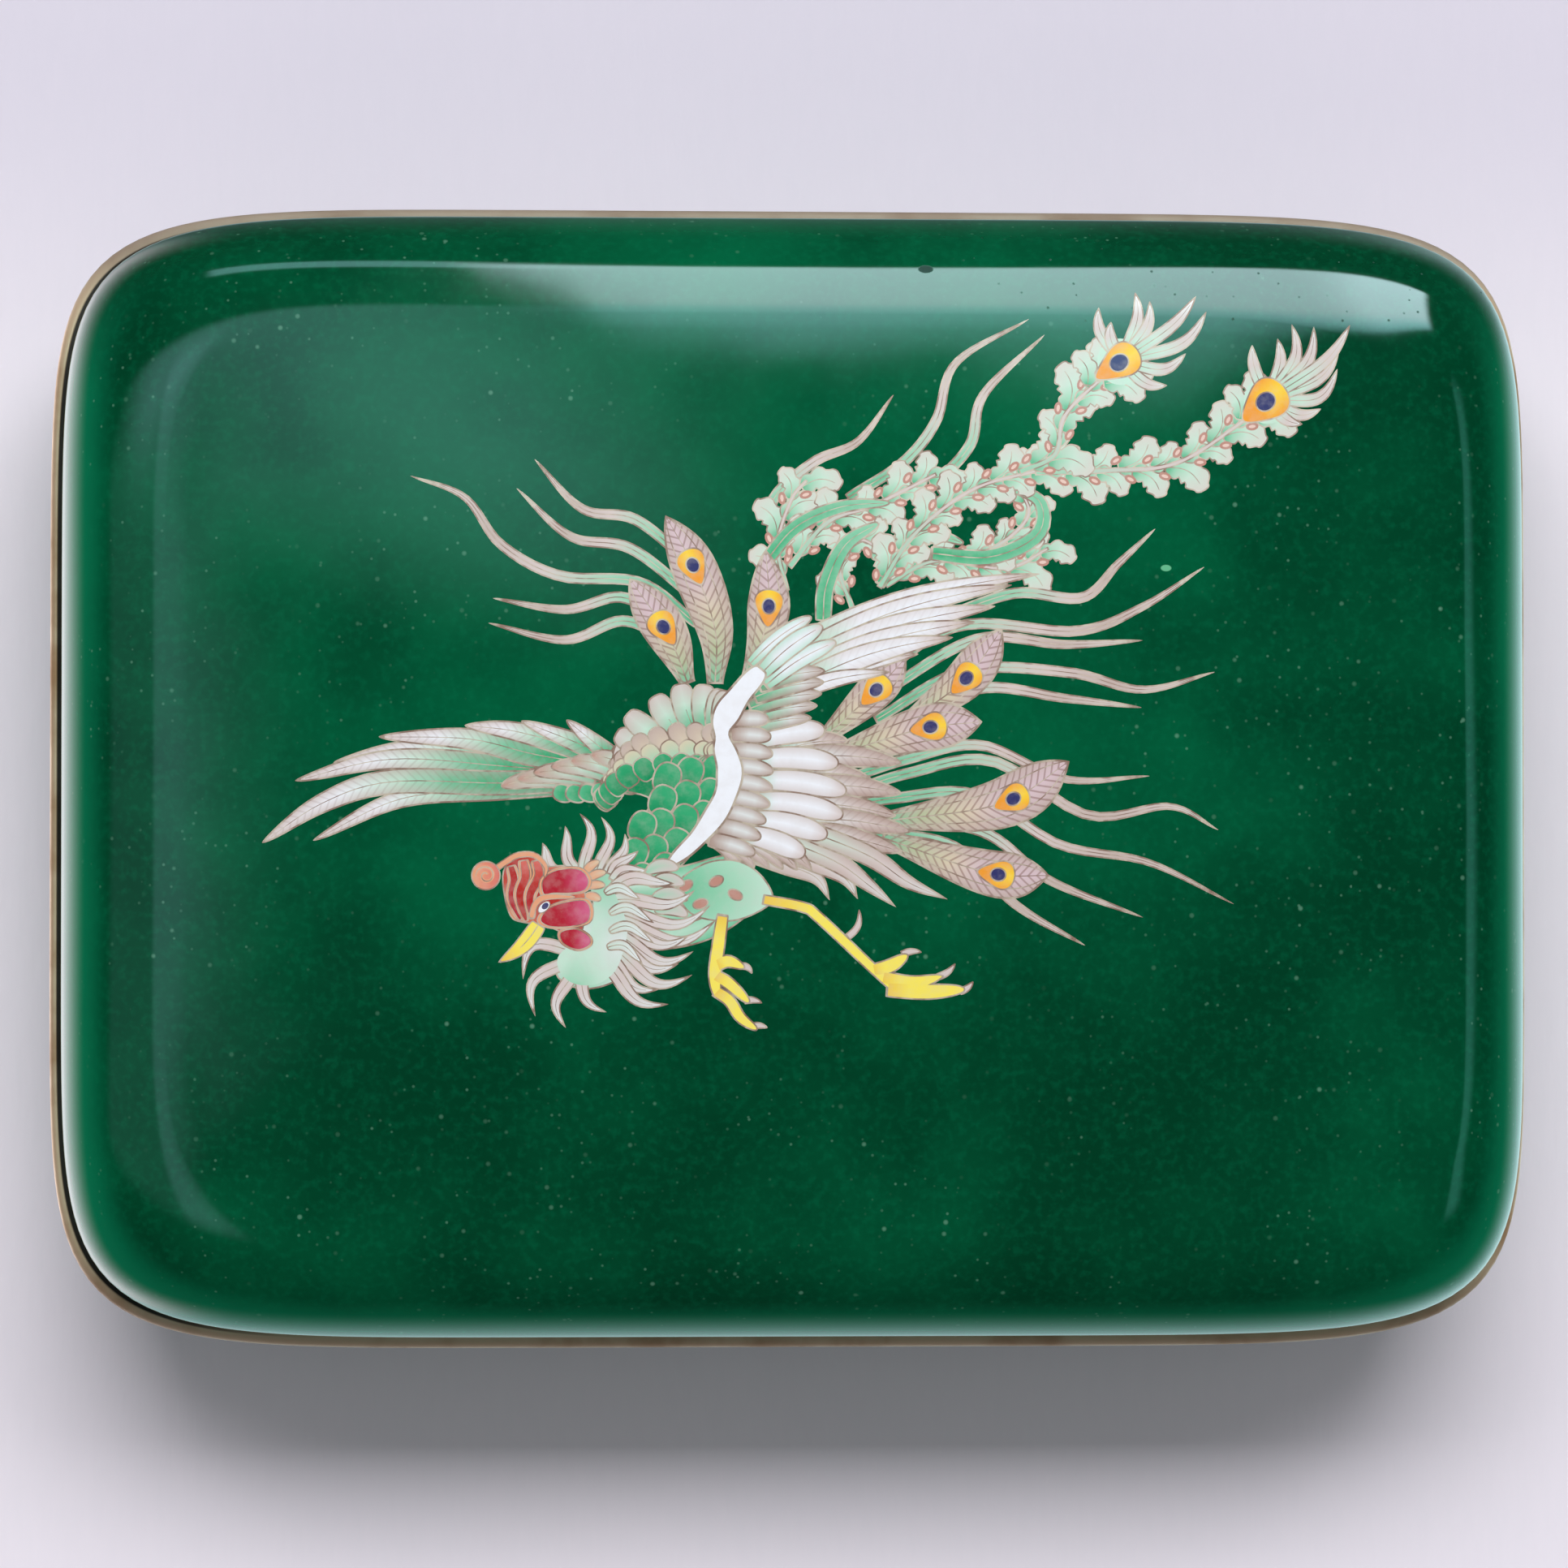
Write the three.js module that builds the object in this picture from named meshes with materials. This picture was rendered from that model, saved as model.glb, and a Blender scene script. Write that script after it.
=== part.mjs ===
// Cloisonne enamel box: a domed lift-off lid on a round-bottomed tray. Each half is an enamelled copper
// shell whose open edge is bound by a gilt rim, and the tray's rim carries the lip that the lid drops over.
// Millimetres, +Z up, +X along the box's length. The origin is at the middle of the underside.
import * as THREE from "three";

// Plan: every outline is a superellipse, and an inset is counted inwards from the widest enamel.
const LENGTH = 130; // of the enamel at its widest, along X
const WIDTH = 99.4; // of the enamel at its widest, along Y
const SQUARENESS = 8; // power of the superellipse
const WALL = 2; // copper sheet with enamel on both faces
const GAP = 0.3; // between pieces that touch

// Heights above the table
const UNDERSIDE = 1.2; // of the tray's floor, inside and outside the foot ring
const HEEL_TOP = 11; // where the tray's wall meets its rounded bottom edge
const TRAY_TOP = 20.5; // the tray's enamel ends and its rim begins
const SEAM = 22.4; // the lid's rim rests here
const LID_BOTTOM = 24.6; // the lid's rim ends and its enamel begins
const SHOULDER_FOOT = 29.4; // the lid's widest line, where its rounded edge begins

// Walls, rounded edges and crown
const TUCK = 0.5; // how far the enamel draws in from its widest to a rim
const BARREL = 0.12; // the same, half way there
const SHOULDER_RUN = 9.5; // the lid's rounded edge, inwards
const SHOULDER_RISE = 10.4; // and upwards
const SHOULDER_POWER = 2.2; // of the superellipse that shapes it in section
const HEEL_RUN = 9;
const HEEL_POWER = 2.2;
const CROWN = 3.8; // how much the lid's top swells above its shoulder

// Rims, lip and foot ring
const BEAD = 1.3; // how far a rim stands out past the widest enamel
const BEAD_EASE = 0.55; // of its outer edges
const RIM_EASE = 0.2; // of its inner edges
const LIP_PLAY = 0.4; // between the lip and the lid's rim
const LIP_THICK = 0.9;
const LIP_HEIGHT = 3.2; // above the seam
const COLLAR_DEPTH = 3; // of the lip's lower part, down inside the tray
const FOOT_INSET = 11; // of the foot ring's outer side
const FOOT_BAND = 2.6;
const FOOT_EASE = 0.4;

// Facets
const SEGMENTS = 64; // round the box
const OUTER_STEPS = 7; // along a rounded edge that shows
const INNER_STEPS = 4; // along one inside
const FLAT_STEPS = 3; // from a rounded edge to the middle
const NOISE = 1e-6; // a length below this is 0

const halfLength = LENGTH / 2;
const halfWidth = WIDTH / 2;
const floorTop = UNDERSIDE + WALL;
const rimInside = TUCK + WALL; // inset of a rim's inner side, in line with the wall's
const lipOutside = rimInside + LIP_PLAY;
const lipInside = lipOutside + LIP_THICK;

// A section turned round the axis and pressed out to the box's outline. Each of its points is
// [inset, height, swell], where swell is the point's share of the crown and counts as 0 if left out.
function pressed(section) {
  const turned = section.map(([inset, height]) => new THREE.Vector2(halfWidth - inset, height));
  const geometry = new THREE.LatheGeometry(turned, SEGMENTS).rotateX(Math.PI / 2);
  const at = geometry.getAttribute("position");
  for (let i = 0; i < at.count; i++) {
    const [inset, height, swell = 0] = section[i % section.length];
    const across = halfWidth - inset;
    const x = along(inset) * squared(at.getX(i), across);
    const y = across * squared(at.getY(i), across);
    at.setXYZ(i, x, y, height + swell * crown(x, y));
  }
  geometry.computeVertexNormals();
  return geometry;
}

// Half length of the outline at an inset: even as far as the rounded edges go, then in proportion.
function along(inset) {
  const even = Math.min(inset, SHOULDER_RUN);
  const rest = (halfWidth - inset) / (halfWidth - even);
  return (halfLength - even) * rest;
}

// A circle's sine or cosine, made the superellipse's. Rounding noise counts as 0, so that the turn's
// first and last points meet.
function squared(part, radius) {
  const share = Math.abs(part) > NOISE ? part / radius : 0;
  return Math.sign(share) * Math.abs(share) ** (2 / SQUARENESS);
}

function crown(x, y) {
  return CROWN * (1 - (x / halfLength) ** 2) * (1 - (y / halfWidth) ** 2);
}

// A rounded edge in section: a quarter of a superellipse from a wall at [inset, height] to a flat that
// lies run further in and rise further up, or down if rise is negative.
function roundedEdge(inset, height, run, rise, power, steps) {
  return Array.from({ length: steps + 1 }, (_, i) => {
    const turn = ((i / steps) * Math.PI) / 2;
    const inwards = 1 - Math.cos(turn) ** (2 / power);
    const upwards = Math.sin(turn) ** (2 / power);
    return [inset + run * inwards, height + rise * upwards, upwards];
  });
}

// From inset in to the axis at one height, with the same share of the crown all the way.
function flat(inset, height, swell) {
  return Array.from({ length: FLAT_STEPS }, (_, i) => {
    const share = (i + 1) / FLAT_STEPS;
    return [inset + (halfWidth - inset) * share, height, swell];
  });
}

// The lid's shell, from the middle of its inside down to its open edge and back up over the outside.
function lidShell() {
  const innerRun = SHOULDER_RUN - WALL / 2;
  const innerRise = SHOULDER_RISE - WALL;
  const inside = [
    [rimInside, LID_BOTTOM],
    ...roundedEdge(WALL, SHOULDER_FOOT, innerRun, innerRise, SHOULDER_POWER, INNER_STEPS),
    ...flat(WALL + innerRun, SHOULDER_FOOT + innerRise, 1),
  ];
  const outside = [
    [TUCK, LID_BOTTOM],
    [BARREL, (LID_BOTTOM + SHOULDER_FOOT) / 2],
    ...roundedEdge(0, SHOULDER_FOOT, SHOULDER_RUN, SHOULDER_RISE, SHOULDER_POWER, OUTER_STEPS),
    ...flat(SHOULDER_RUN, SHOULDER_FOOT + SHOULDER_RISE, 1),
  ];
  return pressed([...inside.reverse(), ...outside]);
}

// The tray's shell, from the middle of its underside out over the foot ring, up and back down inside.
function trayShell() {
  const level = ([inset, height]) => [inset, height];
  const drop = HEEL_TOP - UNDERSIDE;
  const footInside = FOOT_INSET + FOOT_BAND;
  const outside = [
    [TUCK, TRAY_TOP],
    [BARREL, (TRAY_TOP + HEEL_TOP) / 2],
    ...roundedEdge(0, HEEL_TOP, HEEL_RUN, -drop, HEEL_POWER, OUTER_STEPS).map(level),
    [FOOT_INSET, UNDERSIDE],
    [FOOT_INSET, FOOT_EASE],
    [FOOT_INSET + FOOT_EASE, 0],
    [footInside - FOOT_EASE, 0],
    [footInside, FOOT_EASE],
    [footInside, UNDERSIDE],
    ...flat(footInside, UNDERSIDE, 0),
  ];
  const inside = [
    [rimInside, TRAY_TOP],
    ...roundedEdge(WALL, HEEL_TOP, HEEL_RUN, WALL - drop, HEEL_POWER, INNER_STEPS).map(level),
    ...flat(WALL + HEEL_RUN, floorTop, 0),
  ];
  return pressed([...outside.reverse(), ...inside]);
}

// The outer edge of a rim in section, from its underside up to its top: two eased corners.
function bead(bottom, top) {
  const middle = (bottom + top) / 2;
  return [
    [BEAD_EASE - BEAD, bottom],
    [BEAD_EASE * 0.3 - BEAD, bottom + BEAD_EASE * 0.6],
    [-BEAD, middle],
    [BEAD_EASE * 0.3 - BEAD, top - BEAD_EASE * 0.6],
    [BEAD_EASE - BEAD, top],
  ];
}

function lidRim() {
  const bottom = SEAM + GAP;
  const top = LID_BOTTOM - GAP;
  const section = [
    ...bead(bottom, top),
    [rimInside, top],
    [rimInside, bottom + RIM_EASE],
    [rimInside - RIM_EASE, bottom],
  ];
  return pressed([...section, section[0]]);
}

function trayRim() {
  const bottom = TRAY_TOP + GAP;
  const lipTop = SEAM + LIP_HEIGHT;
  const collarBottom = TRAY_TOP - COLLAR_DEPTH;
  const section = [
    ...bead(bottom, SEAM),
    [lipOutside, SEAM],
    [lipOutside, lipTop - RIM_EASE],
    [lipOutside + RIM_EASE, lipTop],
    [lipInside - RIM_EASE, lipTop],
    [lipInside, lipTop - RIM_EASE],
    [lipInside, collarBottom],
    [lipOutside, collarBottom],
    [lipOutside, bottom],
  ];
  return pressed([...section, section[0]]);
}

// Finishes
const enamel = { color: 0x0e5a3c, roughness: 0.18, metalness: 0 };
const gilt = { color: 0xc9a24b, roughness: 0.3, metalness: 1 };

function piece(name, geometry, finish) {
  const mesh = new THREE.Mesh(geometry, new THREE.MeshStandardMaterial(finish));
  mesh.name = name;
  return mesh;
}

const box = new THREE.Group();
box.add(piece("lid", lidShell(), enamel));
box.add(piece("lid_rim", lidRim(), gilt));
box.add(piece("tray", trayShell(), enamel));
box.add(piece("tray_rim", trayRim(), gilt));

export default box;
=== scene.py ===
"""Cloisonne enamel box: enamelled lid and tray, gilt rims, and a phoenix inlaid in the lid."""

import itertools
import math

import bpy
import numpy as np
from mathutils import Matrix, Vector
from mathutils.geometry import delaunay_2d_cdt


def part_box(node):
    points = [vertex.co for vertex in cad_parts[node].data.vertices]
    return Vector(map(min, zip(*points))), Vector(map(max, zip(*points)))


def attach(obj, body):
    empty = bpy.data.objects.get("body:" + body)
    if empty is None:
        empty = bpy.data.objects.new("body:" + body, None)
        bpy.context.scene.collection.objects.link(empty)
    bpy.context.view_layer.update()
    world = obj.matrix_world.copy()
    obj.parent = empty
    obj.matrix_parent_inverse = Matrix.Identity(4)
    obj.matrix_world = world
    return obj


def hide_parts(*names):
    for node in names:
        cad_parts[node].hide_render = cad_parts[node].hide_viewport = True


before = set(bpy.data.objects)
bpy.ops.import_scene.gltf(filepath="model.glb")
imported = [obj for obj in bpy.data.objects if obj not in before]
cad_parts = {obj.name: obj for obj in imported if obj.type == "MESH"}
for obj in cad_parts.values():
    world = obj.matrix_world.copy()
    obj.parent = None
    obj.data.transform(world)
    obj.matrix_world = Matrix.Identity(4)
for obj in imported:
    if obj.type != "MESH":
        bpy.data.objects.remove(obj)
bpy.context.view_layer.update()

bl_info = {
    "name": "Cloisonne Enamel Box",
    "version": (1, 0, 0),
    "blender": (4, 5, 0),
    "location": "View3D > Sidebar > Enamel Box",
    "description": "Builds a cloisonne enamel box with a phoenix on its domed lid",
    "category": "Add Mesh",
}

MM = 0.001  # metres in a millimetre: the maths below is in millimetres

# The box's own sizes, from the frame, in millimetres
LID_LOW, LID_HIGH = (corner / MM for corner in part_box("lid"))
TRAY_TOP = (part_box("tray")[1] / MM).z
LID_RIM_LOW, LID_RIM_HIGH = (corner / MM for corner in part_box("lid_rim"))
TRAY_RIM_LOW, TRAY_RIM_HIGH = (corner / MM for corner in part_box("tray_rim"))
HALF_LENGTH = LID_HIGH.x
HALF_WIDTH = LID_HIGH.y
LID_TOP = LID_HIGH.z
LID_BOTTOM = LID_LOW.z
BEAD = LID_RIM_HIGH.x - HALF_LENGTH

# Shape of the shells, as in the CAD source: an inset counts inwards from the widest enamel
SQUARENESS = 8
RIM_INSIDE = 2.5
TUCK = 0.5
SHOULDER_RUN = 9.5
SHOULDER_RISE = 10.4
SHOULDER_POWER = 2.2
CROWN = 3.8
SHOULDER_FOOT = LID_TOP - CROWN - SHOULDER_RISE
UNDERSIDE = 1.2
HEEL_TOP = 11.0
HEEL_RUN = 9.0
HEEL_POWER = 2.2
LIP_PLAY = 0.4
LIP_THICK = 0.9
FOOT_INSET = 11.0
FOOT_BAND = 2.6
FOOT_EASE = 0.4
FOOT_CORNER = FOOT_EASE * 0.3
SEAM = 0.3  # gap between the two rims
SEGMENTS = 320  # round the box
INNERMOST = 0.4  # half width of the ring nearest the axis


# ---------------------------------------------------------------- shape of the box


def even_turns(count):
    """Turns at which the outline's points lie evenly along it."""
    fine = np.linspace(0, 2 * math.pi, 40001)
    x = HALF_LENGTH * squared(np.cos(fine))
    y = HALF_WIDTH * squared(np.sin(fine))
    walked = walked_along(np.stack([x, y], axis=1))
    return np.interp(np.arange(count) / count * walked[-1], walked, fine)


def squared(part):
    """A circle's sine or cosine, made the superellipse's."""
    return np.sign(part) * np.abs(part) ** (2 / SQUARENESS)


def half_length_at(inset):
    """Half length of the outline at an inset: even across the rounded edge, then in proportion."""
    even = np.minimum(inset, SHOULDER_RUN)
    return (HALF_LENGTH - even) * (HALF_WIDTH - inset) / (HALF_WIDTH - even)


def crown(x, y):
    """How far the low crown rises over the flat, at a place on it."""
    return CROWN * (1 - (x / HALF_LENGTH) ** 2) * (1 - (y / HALF_WIDTH) ** 2)


def rounded_edge(inset, height, run, rise, power, steps):
    """A quarter of a superellipse in section, from a wall to a flat, as (inset, height, swell)."""
    turn = np.linspace(0, math.pi / 2, steps + 1)
    inwards = 1 - np.abs(np.cos(turn)) ** (2 / power)
    upwards = np.sin(turn) ** (2 / power)
    return list(zip(inset + run * inwards, height + rise * upwards, upwards))


def flat(inset, height, swell, steps):
    """Points from a rounded edge in towards the middle."""
    last = HALF_WIDTH - INNERMOST
    return [(inset + (last - inset) * step / steps, height, swell) for step in range(1, steps + 1)]


def inset_at(x, y):
    """How far inside the widest outline a place on the lid lies, by halving."""
    low = np.zeros_like(x)
    high = np.full_like(x, HALF_WIDTH - 0.001)
    for _ in range(40):
        middle = (low + high) / 2
        powers = np.abs(x / (HALF_LENGTH - middle)) ** SQUARENESS
        powers = powers + np.abs(y / (HALF_WIDTH - middle)) ** SQUARENESS
        low = np.where(powers < 1, middle, low)
        high = np.where(powers < 1, high, middle)
    return low


def lid_height(x, y):
    """Height of the lid's outer face above the table."""
    run = np.clip(inset_at(x, y) / SHOULDER_RUN, 0, 1)
    upwards = (1 - (1 - run) ** SHOULDER_POWER) ** (1 / SHOULDER_POWER)
    return SHOULDER_FOOT + upwards * (SHOULDER_RISE + crown(x, y))


def lid_normal(x, y):
    """Unit normals of the lid's outer face."""
    reach = 0.01
    slope_x = (lid_height(x + reach, y) - lid_height(x - reach, y)) / (2 * reach)
    slope_y = (lid_height(x, y + reach) - lid_height(x, y - reach)) / (2 * reach)
    normal = np.stack([-slope_x, -slope_y, np.ones_like(x)], axis=-1)
    return normal / np.linalg.norm(normal, axis=-1, keepdims=True)


# ---------------------------------------------------------------- drawing of the picture
#
# The picture is drawn flat, in millimetres from the middle of the lid, with +Y towards the far long side.
# Shapes lie one over another, later ones on top. Each is a closed loop: bare wire, or a field of enamel
# whose colour runs along its spine and changes towards its sides.

# Widths of the wires
HAIR_WIRE = 0.09
FINE_WIRE = 0.13
WIRE = 0.15
BOLD_WIRE = 0.2

# Screen colours of the enamels
MINT = (150, 208, 176)
PALE_MINT = (196, 226, 208)
DEEP_MINT = (104, 188, 146)
EMERALD = (22, 134, 84)
LEAF = (58, 168, 116)
WHITE = (238, 241, 248)
MILK = (222, 226, 226)
MAUVE = (190, 170, 162)
ROSE_GREY = (212, 197, 194)
TAUPE = (166, 140, 128)
CREAM = (216, 202, 176)
PEACH = (228, 160, 122)
BERRY = (188, 138, 124)
BLUSH = (214, 208, 200)
SHELL = (228, 198, 186)
LILAC = (214, 190, 198)
OLIVE = (176, 190, 152)
CRIMSON = (176, 34, 52)
ROSE = (208, 100, 138)
CORAL = (216, 116, 106)
SCARLET = (176, 38, 34)
GOLD = (248, 208, 64)
ORANGE = (238, 156, 54)
NAVY = (54, 56, 106)
LEMON = (246, 228, 96)
OCHRE = (234, 196, 84)


def eased(count):
    """Shares from 0 to 1, closer together at both ends."""
    return (1 - np.cos(np.linspace(0, math.pi, count))) / 2


def towards(heading):
    """The unit vector of a heading."""
    return np.array([math.cos(heading), math.sin(heading)])


def walked_along(line):
    """How far along a line each of its points lies."""
    return np.concatenate([[0], np.cumsum(np.linalg.norm(np.diff(line, axis=0), axis=1))])


def sway(root, tip, bow=0.0, wave=0.0, count=20):
    """A line from root to tip that bows to its left, and waves, by shares of its length."""
    share = eased(count)
    root = np.array(root, float)
    ahead = np.array(tip, float) - root
    left = np.array([-ahead[1], ahead[0]])
    aside = bow * np.sin(math.pi * share) + wave * np.sin(2 * math.pi * share)
    return root + np.outer(share, ahead) + np.outer(aside, left)


def smooth_between(before, start, stop, after, share):
    """Points of a smooth curve from start to stop."""
    bend = 2 * before - 5 * start + 4 * stop - after
    twist = 3 * start - before - 3 * stop + after
    return 0.5 * (2 * start + (stop - before) * share + bend * share**2 + twist * share**3)


def through(points, count=40):
    """A smooth line through a few points."""
    points = np.array(points, float)
    ends = np.vstack([2 * points[0] - points[1], points, 2 * points[-1] - points[-2]])
    along = eased(count) * (len(points) - 1)
    span = np.minimum(along.astype(int), len(points) - 2)
    return smooth_between(*(ends[span + step] for step in range(4)), (along - span)[:, None])


def ring_through(points, count=48):
    """A smooth closed loop through a few points."""
    points = np.array(points, float)
    around = np.linspace(0, len(points), count, endpoint=False)
    span = around.astype(int)
    corners = (points[(span + step) % len(points)] for step in (-1, 0, 1, 2))
    return smooth_between(*corners, (around - span)[:, None])


def disc(centre, radius, count=24, stretch=1.0, turn=0.0):
    """A round or oval loop."""
    angle = np.linspace(0, 2 * math.pi, count, endpoint=False)
    oval = np.stack([radius * stretch * np.cos(angle), radius * np.sin(angle)], axis=1)
    return turned(oval, turn) + np.array(centre)


def turned(points, angle):
    """Points turned about the middle."""
    return points @ np.array([[math.cos(angle), math.sin(angle)], [-math.sin(angle), math.cos(angle)]])


def bulge(count, rise, fall, root=0.0):
    """Shares of full width along a blade: root at its start, none at its tip, all of it in between."""
    share = eased(count)
    peak = rise / (rise + fall)
    shape = share**rise * (1 - share) ** fall / (peak**rise * (1 - peak) ** fall)
    return np.where(share < peak, root + (1 - root) * shape, shape)


def frame_of(line):
    """Unit vectors ahead and to the left along a line."""
    ahead = np.gradient(line, axis=0)
    ahead /= np.linalg.norm(ahead, axis=1, keepdims=True)
    return ahead, np.stack([-ahead[:, 1], ahead[:, 0]], axis=1)


def without_repeats(loop):
    """The loop without points that lie on the one before."""
    step = np.linalg.norm(loop - np.roll(loop, 1, axis=0), axis=1)
    return loop[step > 0.01]


def thickened(line, half):
    """The loop round a line with half a width to each side."""
    aside = frame_of(line)[1] * np.broadcast_to(half, len(line))[:, None]
    return without_repeats(np.vstack([line + aside, (line - aside)[::-1]]))


def distance_to(points, loop):
    """How far points lie from a loop's edges."""
    edge = np.roll(loop, -1, axis=0) - loop
    to_point = points[:, None] - loop[None]
    share = np.clip((to_point * edge).sum(-1) / (edge**2).sum(-1), 0, 1)
    return np.linalg.norm(to_point - edge * share[..., None], axis=-1).min(axis=1)


def drawn_in(loop, depth):
    """The loop drawn in by a depth, without the points that would then lie too near it."""
    run = np.roll(loop, -1, axis=0) - np.roll(loop, 1, axis=0)
    inwards = np.stack([-run[:, 1], run[:, 0]], axis=1) / np.linalg.norm(run, axis=1, keepdims=True)
    after = np.roll(loop, -1, axis=0)
    if (loop[:, 0] * after[:, 1] - loop[:, 1] * after[:, 0]).sum() < 0:
        inwards = -inwards
    inner = loop + inwards * depth
    return inner[distance_to(inner, loop) > depth * 0.94]


class Field:
    """A loop of enamel. tones are (share along the spine, colour); edge is the colour at its sides."""

    def __init__(self, loop, tones, edge=None, spine=None, half=1.0, barbs=0.0, depth=1.0):
        self.loop = loop
        self.tones = tones if isinstance(tones, list) else [(0, tones)]
        self.edge = edge
        self.spine = np.array([loop[0], loop[len(loop) // 2]]) if spine is None else spine
        self.half = np.broadcast_to(half, len(self.spine))
        self.barbs = barbs
        self.depth = depth


def blade(line, half, tones, edge=None, shape=(0.5, 0.5, 0.0), barbs=0.0, depth=1.0):
    """A feather or leaf along a line. shape is how it swells, how it narrows, and its width at the root."""
    width = half * bulge(len(line), *shape)
    return Field(thickened(line, width), tones, edge, line, width, barbs, depth)


class Picture:
    """The shapes of the picture, from the lowest to the topmost."""

    def __init__(self, wire_width):
        self.shapes = []
        self.wire_width = wire_width

    def wire(self, loop):
        self.shapes.append((loop, None))

    def lay(self, *fields, wire=WIRE, shaft=0.0):
        """Fields with one wire round them all, and a shaft wire in each where it is asked for."""
        for field in fields:
            self.wire(field.loop)
        for field in fields:
            inner = drawn_in(field.loop, wire * self.wire_width)
            if len(inner) > 2:
                self.shapes.append((inner, field))
        for field in fields if shaft else ():
            count = max(4, int(len(field.spine) * shaft))
            half = np.linspace(0.42, 0.16, count - 1) * wire * self.wire_width
            self.wire(thickened(field.spine[1:count], half))

    def feather(self, line, half, tones, wire=WIRE, shaft=0.0, **look):
        """One blade along a line."""
        self.lay(blade(line, half, tones, **look), wire=wire, shaft=shaft)

    def inlay(self, field):
        """A field without a wire."""
        self.shapes.append((field.loop, field))

    def stroke(self, line, width=WIRE):
        """A bare wire along a line."""
        self.wire(thickened(line, width * self.wire_width / 2 * np.clip(bulge(len(line), 0.1, 0.1), 0.3, 1)))


def fan(roots, tips, count, swell=0.0):
    """Evenly spread (root, tip) from the first pair to the last; the tips swell out between."""
    (root_a, root_b), (tip_a, tip_b) = (np.array(pair, float) for pair in (roots, tips))
    out = (tip_a + tip_b) / 2 - (root_a + root_b) / 2
    for share in np.linspace(0, 1, count):
        root = root_a + (root_b - root_a) * share
        yield root, tip_a + (tip_b - tip_a) * share + out * swell * math.sin(math.pi * share)


# -- the tail

TO_LEFT = [
    [(-8.8, 13.5), (-13.8, 17.2), (-21, 17.8), (-26.2, 20.6), (-29.4, 24.8), (-34.2, 26.7)],
    [(-8.6, 15.5), (-14.6, 20.2), (-20, 21.3), (-24.8, 25.6)],
    [(-9, 18.6), (-14.2, 22.8), (-19, 23.8), (-23.2, 28.2)],
    [(-11, 13.6), (-15.5, 15.9), (-20.5, 14.8), (-26.9, 15.8)],
    [(-11, 12), (-15.4, 13.8), (-20.5, 12.1), (-27.3, 13.6)],
]
TO_TOP = [
    [(-1.6, 20), (-2.1, 24.4), (1.6, 28), (5.6, 29.9), (8.8, 34.1)],
    [(4.6, 24.8), (9.6, 28), (12.6, 31.8), (14.4, 37), (21, 41)],
    [(12, 25.6), (15.6, 29.6), (16.9, 34.2), (22.4, 39.6)],
]
TO_RIGHT = [
    [(14, 14.6), (19.8, 16.4), (25.6, 16), (28.8, 19), (32.2, 22.2)],
    [(6, 8), (14.4, 13.4), (25, 13), (31, 15.2), (36.6, 18.8)],
    [(7, 7), (16, 12.2), (24, 11.8), (31, 12.2)],
    [(7, 5), (15, 9.4), (24.4, 9.3), (31, 7.8), (37.5, 9.4)],
    [(8, 3.6), (16, 7.8), (24, 7), (30.9, 6.2)],
    [(4, -0.4), (10, 1.6), (16.5, 2.8), (24, -0.2), (31.6, 0.1)],
    [(4, -1.6), (10, 0.3), (17.5, 1.4), (26, -3.4), (33.4, -2.6), (37.8, -4.7)],
    [(4, -2.8), (9, -1.9), (16, -1.6), (23.4, -6), (31.5, -7.6), (39.2, -11.3)],
    [(7, -3.6), (16.4, -4.8), (22.6, -9.2), (31, -12.5)],
    [(6, -4.8), (14, -6.2), (19.6, -11.4), (25.8, -15)],
]


def draw_streamers(picture, lines):
    """Long tail ribbons that wave out behind the bird."""
    tones = [(0, LEAF), (0.3, MINT), (0.5, ROSE_GREY), (0.7, MAUVE), (0.88, ROSE_GREY), (1, PALE_MINT)]
    look = {"edge": ROSE_GREY, "shape": (0.3, 0.6, 0.7), "depth": 0.6}
    for points in lines:
        picture.feather(through(points, 44), 0.5, tones, wire=0.14, shaft=0.97, **look)


def draw_leaf(picture, foot, heading, reach, side):
    """A leaf with a scalloped edge and a vein."""
    tones = [(0, LEAF), (0.22, MINT), (0.55, PALE_MINT), (1, BLUSH)]
    count, lobes, slimness = 28, 3.3, 0.3
    line = sway(foot, foot + towards(heading) * reach, bow=-0.2 * side, count=count)
    scallops = 0.78 + 0.34 * np.abs(np.sin(lobes * math.pi * eased(count)))
    half = reach * slimness * bulge(count, 0.6, 0.36, 0.4) * scallops
    picture.lay(Field(thickened(line, half), tones, BLUSH, line, half, depth=0.5), wire=FINE_WIRE)
    picture.stroke(line[4:21], HAIR_WIRE)


def draw_berry(picture, centre, heading):
    """A pink oval with a paler middle."""
    picture.inlay(Field(disc(centre, 0.36, 14, 1.6, heading), BERRY))
    picture.inlay(Field(disc(centre, 0.36 * 0.42, 8, 2.2, heading), SHELL))


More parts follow.
